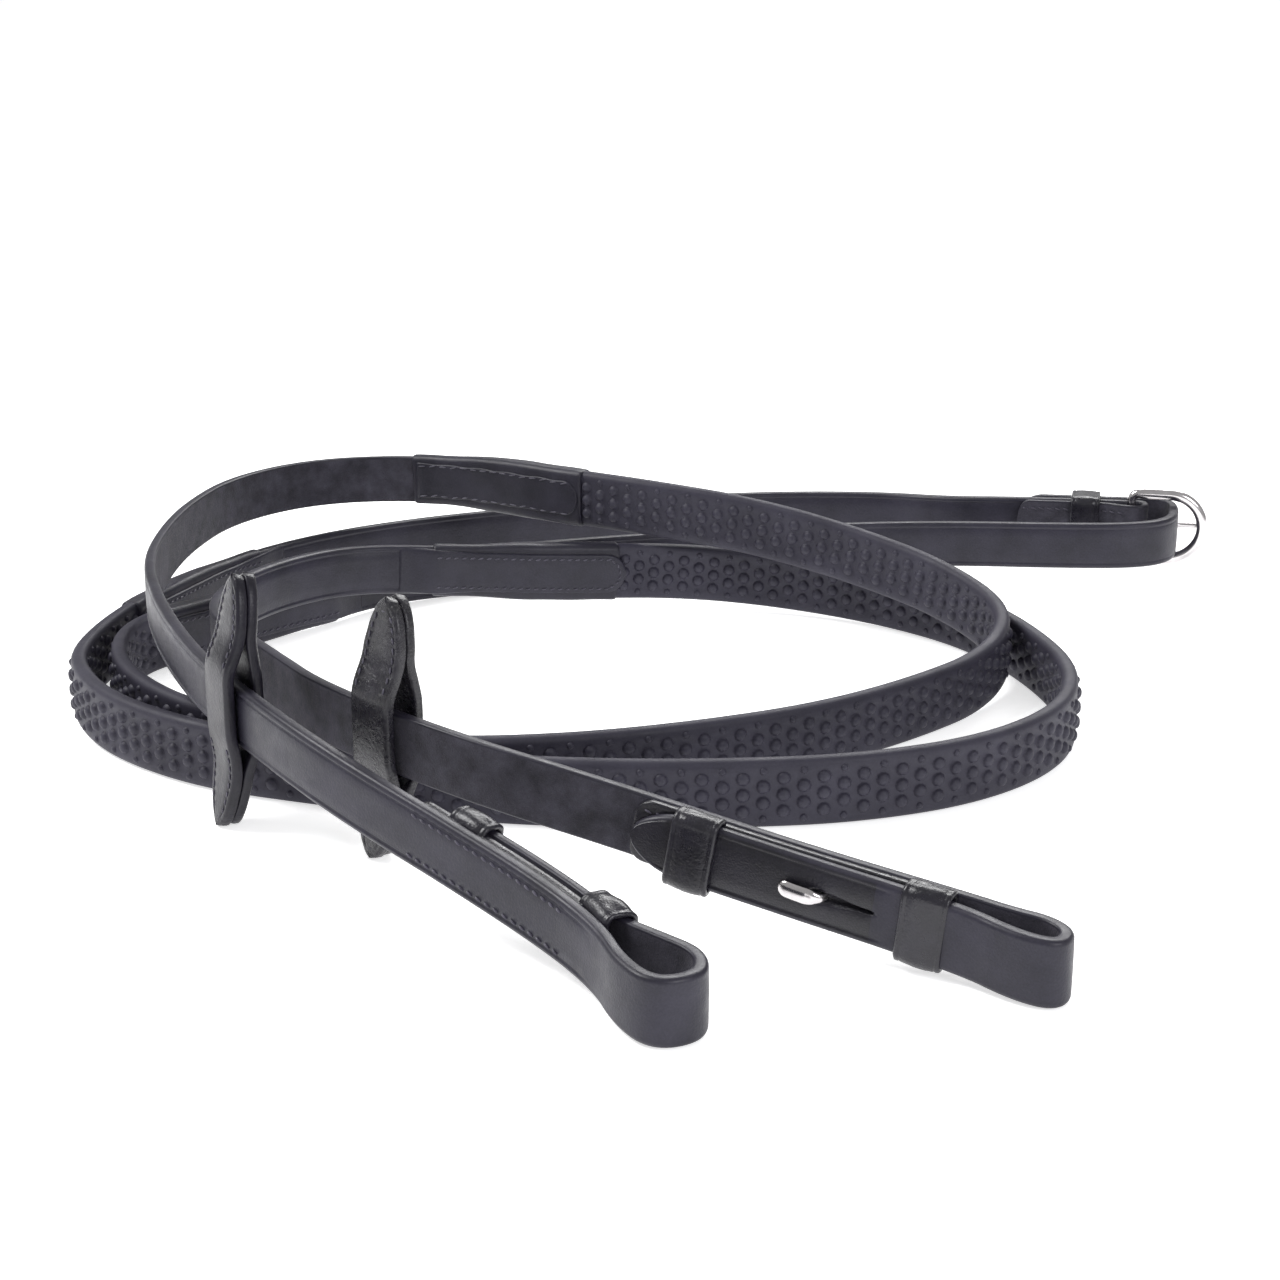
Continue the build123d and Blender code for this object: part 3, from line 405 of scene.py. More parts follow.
# a stitch: a small grain-shaped thread lump
def lump(k=7, rings=5):
    v, f = [(-1, 0, 0)], []
    for i in range(1, rings):
        a = math.pi * i / rings
        for j in range(k):
            b = 2 * math.pi * j / k
            v.append((-math.cos(a), math.sin(a) * math.cos(b), math.sin(a) * math.sin(b)))
    v.append((1, 0, 0))
    for j in range(k):
        f.append((0, 1 + (j + 1) % k, 1 + j))
        f.append((len(v) - 1, 1 + (rings - 2) * k + j, 1 + (rings - 2) * k + (j + 1) % k))
    for i in range(rings - 2):
        for j in range(k):
            a, b = 1 + i * k + j, 1 + i * k + (j + 1) % k
            f.append((a, b, b + k, a + k))
    return np.array(v, float), f


LUMP_V, LUMP_F = lump()
rng = np.random.default_rng(7)


def stitch(build, p, along, side, out, length=2.0, thick=0.46, height=0.42, tilt=0.26, mat=0):
    """Adds one stitch at p (metres); along, side and out are unit vectors."""
    a = along * math.cos(tilt) + side * math.sin(tilt)
    b = -along * math.sin(tilt) + side * math.cos(tilt)
    v = p + (LUMP_V[:, 0:1] * a * length / 2 + LUMP_V[:, 1:2] * b * thick / 2 * 1.1 + LUMP_V[:, 2:3] * out * height) / 1000
    build.add(v, LUMP_F, mat)


def stitch_row(build, line, s0, s1, u, surface, side, pitch=3.0, length=2.1, jitter=0.0, tilt=0.22, mat=0, bend=None):
    """A row of stitches from s0 to s1 at width place u; surface(s) is the height above the middle plane; side is +1 or -1."""
    count = max(1, int(abs(s1 - s0) / pitch))
    s = np.linspace(min(s0, s1), max(s0, s1), count + 1)
    p, d, n, up = line.at(s)
    for i in range(len(s)):
        uu = (u if bend is None else bend(float(s[i]), u)) + jitter * rng.uniform(-1, 1)
        centre = p[i] + (n[i] * side * surface(float(s[i])) + up[i] * uu) / 1000
        stitch(build, centre, d[i], up[i], n[i] * side, length * (1 + jitter * 0.5 * rng.uniform(-1, 1)), tilt=tilt + jitter * rng.uniform(-1, 1), mat=mat)


# ------------------------------------------------------------------ front straps, with the billet folded back
def node_centre(name):
    lo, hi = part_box(name)
    return (np.array(lo) + np.array(hi)) / 2


def front_strap(side_name, line, grain, loop_end, stud_at, runner, keeper, far_groove):
    billet_end = loop_end * 0.5
    stud = line.nearest(stud_at, 0, billet_end)
    runner_billet = line.nearest(runner, 0, billet_end)
    s = np.unique(np.concatenate([np.linspace(0, 3, 9) ** 1.0, np.arange(3, 175, 0.8), np.arange(175, line.length, 1.5), [line.length]]))
    edge = STRAP_W / 2 - 1.9

    def section(x):
        tip = 15.0
        w = STRAP_W * (math.sqrt(max(0.0, 1 - (1 - min(x, tip) / tip) ** 1.9)) * 0.985 + 0.015)
        t = STRAP_T * (0.62 + 0.2 * smoothstep(x, 0, 6) + 0.18 * smoothstep(x, billet_end - 14, billet_end + 10))
        g = 0.34 * smoothstep(x, 4, 18)
        stop_crease = 1 - smoothstep(x, billet_end - 8, billet_end - 2) * (1 - smoothstep(x, loop_end - 4, loop_end + 4))
        g *= stop_crease
        cut = smoothstep(x, stud - 2.0, stud - 0.8) * (1 - smoothstep(x, stud + 12.5, stud + 13.6))
        wide = 1.25 - 0.85 * smoothstep(x, stud, stud + 11)
        return strap_section(t, w, ((-edge, g, 0.42), (edge, g, 0.42)), slit=2.3 * cut, slit_half=wide)[0]

    tags = strap_section(STRAP_T, STRAP_W, ((-edge, 0.2, 0.45), (edge, 0.2, 0.45)))[1]
    rings = rings_of(line, s, section, grain)
    kinds = []
    for x in s:
        if x < billet_end - 8:
            kinds.append([3 if t == 0 else t for t in tags])
        else:
            kinds.append(tags)
    v, f, m = skin(rings, kinds)
    o = outward(obj(f"{side_name}_front_strap_leather", v, f, [GRAIN, EDGE, FLESH, GLOSS], m))
    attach(o, "root")
    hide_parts(f"{side_name}_front_strap")
    end = line.points[-1]
    tuple(end)
    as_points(line.points)
    return stud


# ------------------------------------------------------------------ grips
def dome(k=10):
    prof = [(1.16, -0.08), (1.0, 0.10), (0.95, 0.34), (0.82, 0.60), (0.58, 0.84), (0.30, 0.97)]
    v = []
    for r, h in prof:
        for j in range(k):
            a = 2 * math.pi * j / k
            v.append((r * math.cos(a), r * math.sin(a), h))
    v.append((0, 0, 1.0))
    f = []
    for i in range(len(prof) - 1):
        for j in range(k):
            a, b = i * k + j, i * k + (j + 1) % k
            f.append((a, b, b + k, a + k))
    t = (len(prof) - 1) * k
    for j in range(k):
        f.append((t + j, t + (j + 1) % k, len(v) - 1))
    return np.array(v, float), f


DOME_V, DOME_F = dome()
DOME_FLIP = [tuple(reversed(f)) for f in DOME_F]


def grip(side_name, line, start, end):
    """Pimpled rubber, one rubber mesh that also stands for the leather core; start and end are the lengths covered by
    the wraps.
    """
    s = np.unique(np.concatenate([np.arange(0, line.length, 1.6), [start - 3.2, start - 2.6, line.length - end + 2.6,
                                                                  line.length - end + 3.2, line.length]]))

    def size(x):
        k = smoothstep(x, start - 3.2, start - 2.6) * (1 - smoothstep(x, line.length - end + 2.6, line.length - end + 3.2))
        return 3.1 + (GRIP_T - 3.1) * k, 16.0 + (GRIP_W - 16.0) * k

    def section(x):
        t, w = size(x)
        e, h, r = t / 2, w / 2, min(t / 2 * 0.92, 2.0)
        pts = []
        for cn, cu, a in ((e - r, h - r, 0), (-e + r, h - r, 0.5), (-e + r, -h + r, 1.0), (e - r, -h + r, 1.5)):
            pts += corner(cn, cu, r, a * math.pi, (a + 0.5) * math.pi, 6)
            if a in (0.5, 1.5):
                continue
        out = []
        for i, q in enumerate(pts):
            out.append(q)
            if i in (11, 23):      # faces: a slightly raised border, then the pimpled field
                sgn = -1 if i == 11 else 1
                for f_ in (0.62, 0.56, 0.2, -0.2, -0.56, -0.62):
                    u = f_ * h * (1 if i == 11 else -1)
                    sink = 0.16 if abs(f_) < 0.6 else 0.0
                    out.append((sgn * (e - sink), u))
        return np.array(out)

    rings = rings_of(line, s, section)
    b = Build()
    v, f, _ = skin(rings)
    b.add(v, f)
    pitch = 5.2
    cols = int((line.length - start - end - 3.0) / pitch)
    first = start + (line.length - start - end - cols * pitch) / 2
    x = first + pitch * np.arange(cols + 1)
    p, d, n, u = line.at(x)
    for i in range(len(x)):
        rows = ((-4.5, 1.72), (0.0, 1.78), (4.5, 1.72)) if i % 2 == 0 else ((-6.5, 1.0), (-2.25, 1.75), (2.25, 1.75), (6.5, 1.0))
        for side in (1, -1):
            for place_, r in rows:
                h = 1.2 * (r / 1.78) ** 0.8
                c = p[i] + (n[i] * side * (GRIP_T / 2 - 0.1) + u[i] * place_) / 1000
                vv = c + (DOME_V[:, 0:1] * d[i] * r + DOME_V[:, 1:2] * u[i] * r + DOME_V[:, 2:3] * n[i] * side * h) / 1000
                b.add(vv, DOME_FLIP if side > 0 else DOME_F)
    o = b.done(f"{side_name}_grip", [RUBBER])
    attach(o, "root")
    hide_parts(f"{side_name}_grip_rubber", f"{side_name}_grip_core")
    tuple(line.points[0])
    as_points(line.points)
    return o


# ------------------------------------------------------------------ hand straps
def hand_strap(side_name, line, grain, end_tip):
    s = np.unique(np.concatenate([np.arange(0, line.length - 130, 1.5), np.arange(line.length - 130, line.length, 0.7), [line.length]]))
    edge = STRAP_W / 2 - 1.9

    def section(x):
        w, t = STRAP_W, STRAP_T
        left = line.length - x
        if left < end_tip:
            w = STRAP_W * (math.sqrt(max(0.0, 1 - (1 - left / end_tip) ** 2)) * 0.98 + 0.02)
        if side_name == "right":
            t = STRAP_T * (1 - 0.22 * smoothstep(x, line.length - 62, line.length - 52))
        return strap_section(t, w, ((-edge, 0.2, 0.4), (edge, 0.2, 0.4)))[0]

    tags = strap_section(STRAP_T, STRAP_W, ((-edge, 0.16, 0.4), (edge, 0.16, 0.4)))[1]
    v, f, m = skin(rings_of(line, s, section, grain), tags)
    o = outward(obj(f"{side_name}_hand_strap_leather", v, f, [GRAIN, EDGE, FLESH], m))
    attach(o, "root")
    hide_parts(f"{side_name}_hand_strap")
    tuple(line.points[0])
    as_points(line.points)
    return o


# ------------------------------------------------------------------ wraps
def wrap(name, node, line, strap_end, grip_end, neat, w_strap=17.3, w_grip=19.0):
    """A leather sleeve between two places of a line: strap_end where it grips the strap, grip_end over the rubber. neat is the
    side (+1 or -1) where the strap's tongue is sewn on with two fine rows; the other side shows the plain sleeve."""
    sign = 1 if grip_end > strap_end else -1
    total = abs(grip_end - strap_end)
    xs = np.concatenate([[0, 0.12, 0.5, 1.2], np.arange(2.0, total - 1.6, 1.0), [total - 1.2, total - 0.5, total - 0.12, total]])

    def thick(x):
        return 5.0 + 2.2 * float(smoothstep(x, total * 0.22, total * 0.62)) + 0.12 * math.sin(x * 0.42 + 1.0)

    def wide(x):
        return w_strap + (w_grip - w_strap) * float(smoothstep(x, total * 0.15, total * 0.55)) + 0.10 * math.sin(x * 0.31)

    def lip(x):
        return float(np.interp(x, [0, 0.12, 0.5, 1.2, total - 1.2, total - 0.5, total - 0.12, total], [0.62, 0.86, 0.96, 1, 1, 0.96, 0.86, 0.62]))

    def section(s):
        x = (s - strap_end) * sign
        t, w = thick(x), wide(x)
        k = lip(x)
        t, w = t - 2.6 * (1 - k), w - 2.6 * (1 - k)
        e, h, r = t / 2, w / 2, min(t / 2 * 0.9, 2.1)
        pts = []
        for cn, cu, a in ((e - r, h - r, 0), (-e + r, h - r, 0.5), (-e + r, -h + r, 1.0), (e - r, -h + r, 1.5)):
            pts += corner(cn, cu, r, a * math.pi, (a + 0.5) * math.pi, 7)
            if a in (0.5, 1.5):
                continue
            sgn = -1 if a == 0 else 1
        out = []
        for i, q in enumerate(pts):
            out.append(q)
            if i in (13, 27):
                sgn = -1 if i == 13 else 1
                for f_ in (0.7, 0.5, 0.25, 0, -0.25, -0.5, -0.7):
                    u = f_ * (h - r) * (1 if i == 13 else -1)
                    out.append((sgn * (e + 0.10 * (1 - f_ * f_)), u))
        return np.array(out)

    b = Build()
    v, f, _ = skin(rings_of(line, strap_end + sign * xs, section))
    b.add(v, f, 0)
    # tongue of the strap over the sleeve, neat side
    reach = total + 2.6
    tx = np.concatenate([np.arange(-11, reach - 7, 1.0), reach - 7 + 7 * np.sin(np.linspace(0, math.pi / 2, 14))])

    def tongue_half(x):
        base = 7.55 - 1.05 * float(smoothstep(x, -4, 16))
        if x > reach - 7:
            base *= math.sqrt(max(0.0, 1 - ((x - reach + 7) / 7) ** 2)) * 0.98 + 0.02
        return base

    def tongue_top(x):
        k = float(smoothstep(x, -9, 3))
        return (1.72 * (1 - k)) + (thick(min(max(x, 0), total)) / 2 + 0.95) * k - (0.55 * float(smoothstep(x, total, reach)))

    def tongue(s):
        x = (s - strap_end) * sign
        top, h = tongue_top(x), tongue_half(x)
        r = min(0.75, h * 0.6)
        pts = corner(top - r, h - r, r, 0, math.pi / 2, 5) + [(top - 1.9, h), (top - 1.9, -h)] + corner(top - r, -h + r, r, 1.5 * math.pi, 2 * math.pi, 5)
        pts += [(top + 0.05, f_ * (h - r)) for f_ in (-0.94, -0.5, 0, 0.5, 0.94)]
        return np.array(pts)

    v, f, _ = skin(rings_of(line, strap_end + sign * tx, tongue, neat))
    b.add(v, f, 1)
    for k in (-1, 1):
        stitch_row(b, line, strap_end + sign * 2, strap_end + sign * (reach - 6.5), k * 4.95, lambda s: tongue_top((s - strap_end) * sign) + 0.06, neat,
                   pitch=2.6, length=1.75, tilt=0.3, mat=2)
    # round the tongue's end
    for a in np.linspace(-1.1, 1.1, 6):
        s_ = strap_end + sign * (reach - 7 + 4.8 * math.cos(a))
        p, d, n, u = line.at(s_)
        c = p[0] + (n[0] * neat * (tongue_top(reach - 4) + 0.05) + u[0] * 4.7 * math.sin(a)) / 1000
        stitch(b, c, d[0] * sign * -math.sin(a) + u[0] * math.cos(a), np.cross(n[0], d[0] * sign * -math.sin(a) + u[0] * math.cos(a)), n[0] * neat, 1.6, mat=2)
    # plain side: the same rows come through, longer and less even, round a raised field
    px = np.concatenate([np.arange(1.5, total - 7, 1.0), total - 7 + 6 * np.sin(np.linspace(0, math.pi / 2, 10))])

    def field(s):
        x = (s - strap_end) * sign
        h = 6.3 - 0.4 * float(smoothstep(x, 0, 20)) + 0.16 * math.sin(x * 0.5)
        if x > total - 7:
            h *= math.sqrt(max(0.0, 1 - ((x - total + 7) / 6.05) ** 2)) * 0.97 + 0.03
        top = thick(x) / 2 + 0.12 + 0.42 * float(smoothstep(x, 1.5, 4))
        r = min(0.5, h * 0.5)
        pts = corner(top - r, h - r, r, 0, math.pi / 2, 4) + [(top - 1.5, h + 0.3), (top - 1.5, -h - 0.3)] + corner(top - r, -h + r, r, 1.5 * math.pi, 2 * math.pi, 4)
        pts += [(top + 0.04, f_ * (h - r)) for f_ in (-0.9, -0.45, 0, 0.45, 0.9)]
        return np.array(pts)

    v, f, _ = skin(rings_of(line, strap_end + sign * px, field, -neat))
    b.add(v, f, 0)
    for k in (-1, 1):
        stitch_row(b, line, strap_end + sign * 4, strap_end + sign * (total - 6), k * 5.2, lambda s: thick((s - strap_end) * sign) / 2 + 0.52, -neat,
                   pitch=4.1, length=2.9, jitter=0.18, tilt=0.12, mat=2)
    o = outward(b.done(name, [WRAP, GRAIN, THREAD_PAINTED_HIGHLIGHT]))
    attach(o, "root")
    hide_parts(node)
    return o


# ------------------------------------------------------------------ bands: keepers and runners
def band(name, node, body, centre, axis, across, n_half, u_half, length, wall=1.4, soft=0.0, seam=1):
    """A leather loop round straps: centre in metres, axis along the strap, across the thickness direction; halves are clear
    inner halves in mm."""
    axis = np.array(axis, float)
    axis /= np.linalg.norm(axis)
    across = np.array(across, float)
    across -= axis * across.dot(axis)
    across /= np.linalg.norm(across)
    up = np.cross(axis, across)
    r = 1.5
    loop, normals = [], []
    for cn, cu, a in ((n_half - r, u_half - r, 0), (-n_half + r, u_half - r, 0.5), (-n_half + r, -u_half + r, 1.0), (n_half - r, -u_half + r, 1.5)):
        for ang in np.linspace(a * math.pi, (a + 0.5) * math.pi, 7):
            loop.append((cn + r * math.cos(ang), cu + r * math.sin(ang)))
            normals.append((math.cos(ang), math.sin(ang)))
        nxt = {0: (-1, 0, 1), 0.5: (0, -1, 0), 1.0: (1, 0, 0), 1.5: (0, 1, 0)}[a]
        last, lastn = loop[-1], normals[-1]
        span = (2 * n_half - 2 * r) if a in (0, 1.0) else (2 * u_half - 2 * r)
        for t in np.linspace(0, 1, 7)[1:-1]:
            loop.append((last[0] + nxt[0] * span * t, last[1] + nxt[1] * span * t))
            normals.append(lastn)
    hl = length / 2
    prof = []
    for x, y in ((-hl + 0.3, 0.0), (-hl, 0.35), (-hl, wall - 0.45), (-hl + 0.35, wall - 0.05), (-hl + 1.05, wall), (-hl + 1.35, wall - 0.16),
                 (-hl + 1.65, wall), (-hl * 0.35, wall + 0.12), (0, wall + 0.16), (hl * 0.35, wall + 0.12), (hl - 1.65, wall),
                 (hl - 1.35, wall - 0.16), (hl - 1.05, wall), (hl - 0.35, wall - 0.05), (hl, wall - 0.45), (hl, 0.35), (hl - 0.3, 0.0)):
        prof.append((x, y))
    rings = []
    total = len(loop)
    for i, ((a, c), (na, nc)) in enumerate(zip(loop, normals)):
        ph = 2 * math.pi * i / total
        ring = []
        for x, y in prof:
            wob = soft * (0.5 * math.sin(3 * ph + x * 0.5) + 0.4 * math.sin(5 * ph - x * 0.8 + 1.3))
            yy = y + wob * (0.4 + 0.6 * (y / wall))
            xx = x + soft * 0.9 * math.sin(2 * ph + 0.7) + 0.12 * soft * math.sin(7 * ph)
            lap = 0.45 if seam and -0.15 < (c - 2) / 6 < 0.9 and na * seam > 0.9 else 0.0
            ring.append(centre + (axis * xx + across * (a + na * (yy + (lap if y > 0.5 else 0) * 0)) + up * (c + nc * yy)) / 1000)
        rings.append(ring)
    v, f, _ = skin(np.array(rings), closed=True)
    o = outward(obj(name, v, f, [TRIM]))
    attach(o, body)
    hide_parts(node)
    return o


# ------------------------------------------------------------------ build the reins
LEFT_STUD_AT, LEFT_RUNNER_AT, LEFT_KEEPER_AT = (-2.5, -160.5), (8.2, -173.6), (-21.5, -143.6)
RIGHT_STUD_AT, RIGHT_RUNNER_AT, RIGHT_KEEPER_AT = (63.3, -147.9), (85.6, -158.8), (34.5, -136.0)


def plan(p):
    return place(p[0], p[1], 0)


def main_station(line, at, low, high):
    s = line.nearest(plan(at), low, high)
    p, d, n, u = line.at(s)
    return s, p[0], d[0], n[0], u[0]


# the loop of each bit end ends, and the main strap starts, at about these distances
left_loop_end, right_loop_end = 128.0, 134.0
left_stud_s = front_strap("left", left_front, 1, left_loop_end, plan((-2.5 + 3.4, -160.5 + 4.3)), plan((12.5, -170)), None, True)
right_stud_s = front_strap("right", right_front, -1, right_loop_end, plan((63.3 - 2.4, -147.9 - 5.1)), plan((87, -164)), None, True)
grip("left", left_grip, 58.0, 40.0)
grip("right", right_grip, 31.0, 14.0)
hand_strap("left", left_hand, -1, 9.0)
hand_strap("right", right_hand, -1, 4.0)

join = joined(left_front, left_grip)
wrap("left_wrap_front_sleeve", "left_wrap_front", join, left_front.length - 12, left_front.length + 58, 1)
join = joined(right_front, right_grip)
wrap("right_wrap_front_sleeve", "right_wrap_front", join, right_front.length - 30, right_front.length + 31, -1)
join = joined(left_grip, left_hand)
wrap("left_wrap_rear_sleeve", "left_wrap_rear", join, left_grip.length + 26, left_grip.length - 40, -1, w_grip=18.7)
join = joined(right_grip, right_hand)
wrap("right_wrap_rear_sleeve", "right_wrap_rear", join, right_grip.length + 56, right_grip.length - 14, -1, w_grip=18.7)

for name, line, side, stud_at, runner_at, keeper_at, low, high in (
        ("left", left_front, -1, LEFT_STUD_AT, LEFT_RUNNER_AT, LEFT_KEEPER_AT, left_loop_end - 25, left_loop_end + 90),
        ("right", right_front, 1, RIGHT_STUD_AT, RIGHT_RUNNER_AT, RIGHT_KEEPER_AT, right_loop_end - 25, right_loop_end + 110)):
    # keeper, sewn on, and runner, loose
    ks, p, d, n, u = main_station(line, keeper_at, low, high)
    band(f"{name}_keeper_loop", f"{name}_keeper", "root", p + n * side * 5.25 / 1000, d, n * side, 2.35, 8.25, 11.0, 1.35, soft=0.12)
    rs, p, d, n, u = main_station(line, runner_at, low, high)
    band(f"{name}_runner_loop", f"{name}_runner", "root", p + n * side * (5.75 if name == "left" else 5.3) / 1000, d, n * side,
         2.85 if name == "left" else 2.4, 8.35, 11.0, 1.35, soft=0.30 if name == "left" else 0.12)
    # backing layer sewn behind the main strap, and the two rows that hold it
    b0, b1 = rs + 4.0, ks + 16.0
    xs = np.concatenate([[b0, b0 + 0.3, b0 + 1.0], np.arange(b0 + 2, b1 - 4, 1.0), b1 - 4 + 4 * np.sin(np.linspace(0, math.pi / 2, 8))])

    def layer(s, b1=b1):
        h = 7.8
        if s > b1 - 4:
            h *= 0.55 + 0.45 * math.sqrt(max(0.0, 1 - ((s - b1 + 4) / 4) ** 2))
        t = 2.0
        pts = corner(t / 2 - 0.6, h - 0.6, 0.6, 0, math.pi / 2, 4) + corner(-t / 2 + 0.3, h - 0.3, 0.3, math.pi / 2, math.pi, 3) + \
            corner(-t / 2 + 0.3, -h + 0.3, 0.3, math.pi, 1.5 * math.pi, 3) + corner(t / 2 - 0.6, -h + 0.6, 0.6, 1.5 * math.pi, 2 * math.pi, 4)
        q = np.array(pts)
        q[:, 0] += STRAP_T / 2 + t / 2
        return q

    bd = Build()
    v, f, _ = skin(rings_of(line, xs, layer, side))
    bd.add(v, f, 0)
    o = outward(bd.done(f"{name}_backing", [TRIM]))
    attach(o, "root")
    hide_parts(f"{name}_stud_backing")
    st = Build()
    for k in (-1, 1):
        stitch_row(st, line, rs + 8, ks + 13, k * 5.3, lambda s: STRAP_T / 2 + 0.12, -side, pitch=2.7, length=1.9, tilt=0.28)
        stitch_row(st, line, rs + 8, ks + 13, k * 5.3, lambda s: STRAP_T / 2 + 2.1, side, pitch=2.7, length=1.9, tilt=0.28)
    o = outward(st.done(f"{name}_backing_stitches", [THREAD_PAINTED_HIGHLIGHT]))
    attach(o, "root")
    # hook stud: neck and flattened hook that lies on the billet
    ss, p, d, n, u = main_station(line, stud_at, low, high)
    n = n * side
    hook = [(-1.2, 1.7), (-1.2, 4.5), (-1.15, 6.6), (-0.6, 7.9), (0.8, 8.75), (2.8, 8.95), (5.2, 8.8), (7.6, 8.45), (9.4, 8.1)]
    pts = np.array([p + (d * a + n * c) / 1000 for a, c in hook])
    ln = Line(pts)
    hs = np.concatenate([np.linspace(0, ln.length - 2.2, 30), ln.length - 2.2 + 2.2 * np.sin(np.linspace(0.1, math.pi / 2, 9))])
    rings = []
    for x in hs:
        q, dd = ln.at(x)[:2]
        q, dd = q[0], dd[0]
        nn = np.cross(dd, u)
        nn /= np.linalg.norm(nn)
        wide = 1.1 + 0.95 * float(smoothstep(x, 5.5, 9.5))
        thin = 1.1 - 0.25 * float(smoothstep(x, 5.5, 9.5))
        k = 1.0 if x < ln.length - 2.2 else math.sqrt(max(0.0, 1 - ((x - ln.length + 2.2) / 2.2) ** 2)) * 0.97 + 0.03
        rings.append([q + (u * wide * k * math.cos(a) + nn * thin * k * math.sin(a)) / 1000 for a in np.linspace(0, 2 * math.pi, 18, endpoint=False)])
    hb = Build()
    v, f, _ = skin(np.array(rings))
    hb.add(v, f)
    base = []
    for hgt, k in ((0.0, 0.9), (0.1, 1.0), (0.5, 1.0), (0.75, 0.9), (0.8, 0.72)):
        base.append([p + (d * 5.5 * k * math.copysign(abs(math.cos(a)) ** 0.6, math.cos(a)) + u * 4.0 * k * math.copysign(abs(math.sin(a)) ** 0.6, math.sin(a))
                          + n * (1.65 + hgt)) / 1000 for a in np.linspace(0, 2 * math.pi, 28, endpoint=False)])
    v, f, _ = skin(np.array(base))
    hb.add(v, f)
    o = outward(hb.done(f"{name}_stud_metal", [STEEL]))
    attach(o, "root")
    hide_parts(f"{name}_hook_stud")

# ------------------------------------------------------------------ martingale stops
STOP_HALF = 33.0
HEIGHTS = [0, 7, 13, 21, 27, 30.5, 32.4, 33]
HALVES = [7.0, 7.0, 7.4, 7.0, 5.5, 3.8, 1.9, 0.15]


def leaf_half(h):
    return float(np.interp(abs(h), HEIGHTS, HALVES))


def smooth_half(h):
    return sum(leaf_half(np.clip(h + k, -33, 33)) for k in (-1.2, -0.6, 0, 0.6, 1.2)) / 5 if abs(h) < 31 else leaf_half(h)


def leaf_middle(h, side, part, lean=-4.0):
    a = abs(h)
    gap = part * (1 - float(smoothstep(a, 6.8, 19.0))) + 0.06
    tilt = 0.0 if a < 10.6 else (a - 10.6) / (33.0 - 10.6)
    return side * (gap + 1.45) + lean * tilt * (1 if h > 0 else -1) * 1.0


def leaf(name, node, body, origin, d, n, side, mat, bulge, part):
    hs = np.concatenate([-33 + 2.2 * (1 - np.cos(np.linspace(0, math.pi / 2, 9))), np.arange(-30.4, 30.5, 0.8), 33 - 2.2 * (1 - np.cos(np.linspace(math.pi / 2, 0, 9)))])
    up = np.array([0, 0, 1.0])
    mid = np.array([leaf_middle(h, side, part) for h in hs])
    for _ in range(5):
        mid[1:-1] = (mid[:-2] + 2 * mid[1:-1] + mid[2:]) / 4
    halves = np.array([smooth_half(h) for h in hs])
    p = origin + (n[None] * mid[:, None] + up[None] * hs[:, None]) / 1000
    t = np.gradient(p, axis=0)
    t /= np.linalg.norm(t, axis=1)[:, None]
    rings = []
    nn_all = []
    for i, h in enumerate(hs):
        nn = np.cross(t[i], d)
        nn /= np.linalg.norm(nn)
        if nn.dot(n) * side < 0:
            nn = -nn
        nn_all.append(nn)
        hw, e = halves[i], 1.45
        r = min(1.1, hw * 0.8)
        curl = bulge * (1 - float(smoothstep(abs(h), 4, 20)))
        pts = corner(e - r, hw - r, r, 0, math.pi / 2, 6) + corner(-e + r * 0.6, hw - r * 0.6, r * 0.6, math.pi / 2, math.pi, 4)
        pts += [(-e, f_ * (hw - r)) for f_ in (0.5, 0, -0.5)]
        pts += corner(-e + r * 0.6, -hw + r * 0.6, r * 0.6, math.pi, 1.5 * math.pi, 4) + corner(e - r, -hw + r, r, 1.5 * math.pi, 2 * math.pi, 6)
        k = float(smoothstep(abs(h), 9.5, 12.5)) * (1 - float(smoothstep(abs(h), 29, 31)))
        g = (hw - 2.0) / max(hw - r, 0.1)
        for f_ in (-g - 0.14, -g - 0.05, -g, -g + 0.05, -g + 0.14, -0.4, 0, 0.4, g - 0.14, g - 0.05, g, g + 0.05, g + 0.14):
            f_ = max(-1.0, min(1.0, f_))
            dip = 0.30 * k * math.exp(-((abs(f_) - g) / 0.06) ** 2)
            pts.append((e + 0.20 * (1 - f_ * f_) - dip, f_ * (hw - r)))
        rings.append([p[i] + (nn * (a - curl * (c / 7.0) ** 2) + d * c) / 1000 for a, c in pts])
    b = Build()
    v, f, _ = skin(np.array(rings))
    b.add(v, f, 0)
    # stitches along both long edges of each lobe
    for lobe in (-1, 1):
        for edge_side in (-1, 1):
            hh = np.arange(11.5, 29.5, 2.35) * lobe
            for h in hh:
                i = int(np.argmin(abs(hs - h)))
                hw = halves[i]
                dv = (halves[min(i + 2, len(hs) - 1)] - halves[max(i - 2, 0)]) / max(hs[min(i + 2, len(hs) - 1)] - hs[max(i - 2, 0)], 0.1)
                along = t[i] + d * dv * edge_side
                along /= np.linalg.norm(along)
                c = p[i] + (nn_all[i] * (1.45 + 0.02) + d * edge_side * (hw - 2.0)) / 1000
                stitch(b, c, along, np.cross(nn_all[i], along), nn_all[i], 1.7, 0.5, 0.3, 0.2, 1)
        i = int(np.argmin(abs(hs - 30.0 * lobe)))
        c = p[i] + (nn_all[i] * 1.5) / 1000
        stitch(b, c, d, t[i], nn_all[i], 1.6, 0.5, 0.3, 0.0, 1)
    o = outward(b.done(name, [mat, THREAD_PAINTED_HIGHLIGHT]))
    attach(o, body)
    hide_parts(node)
    return o


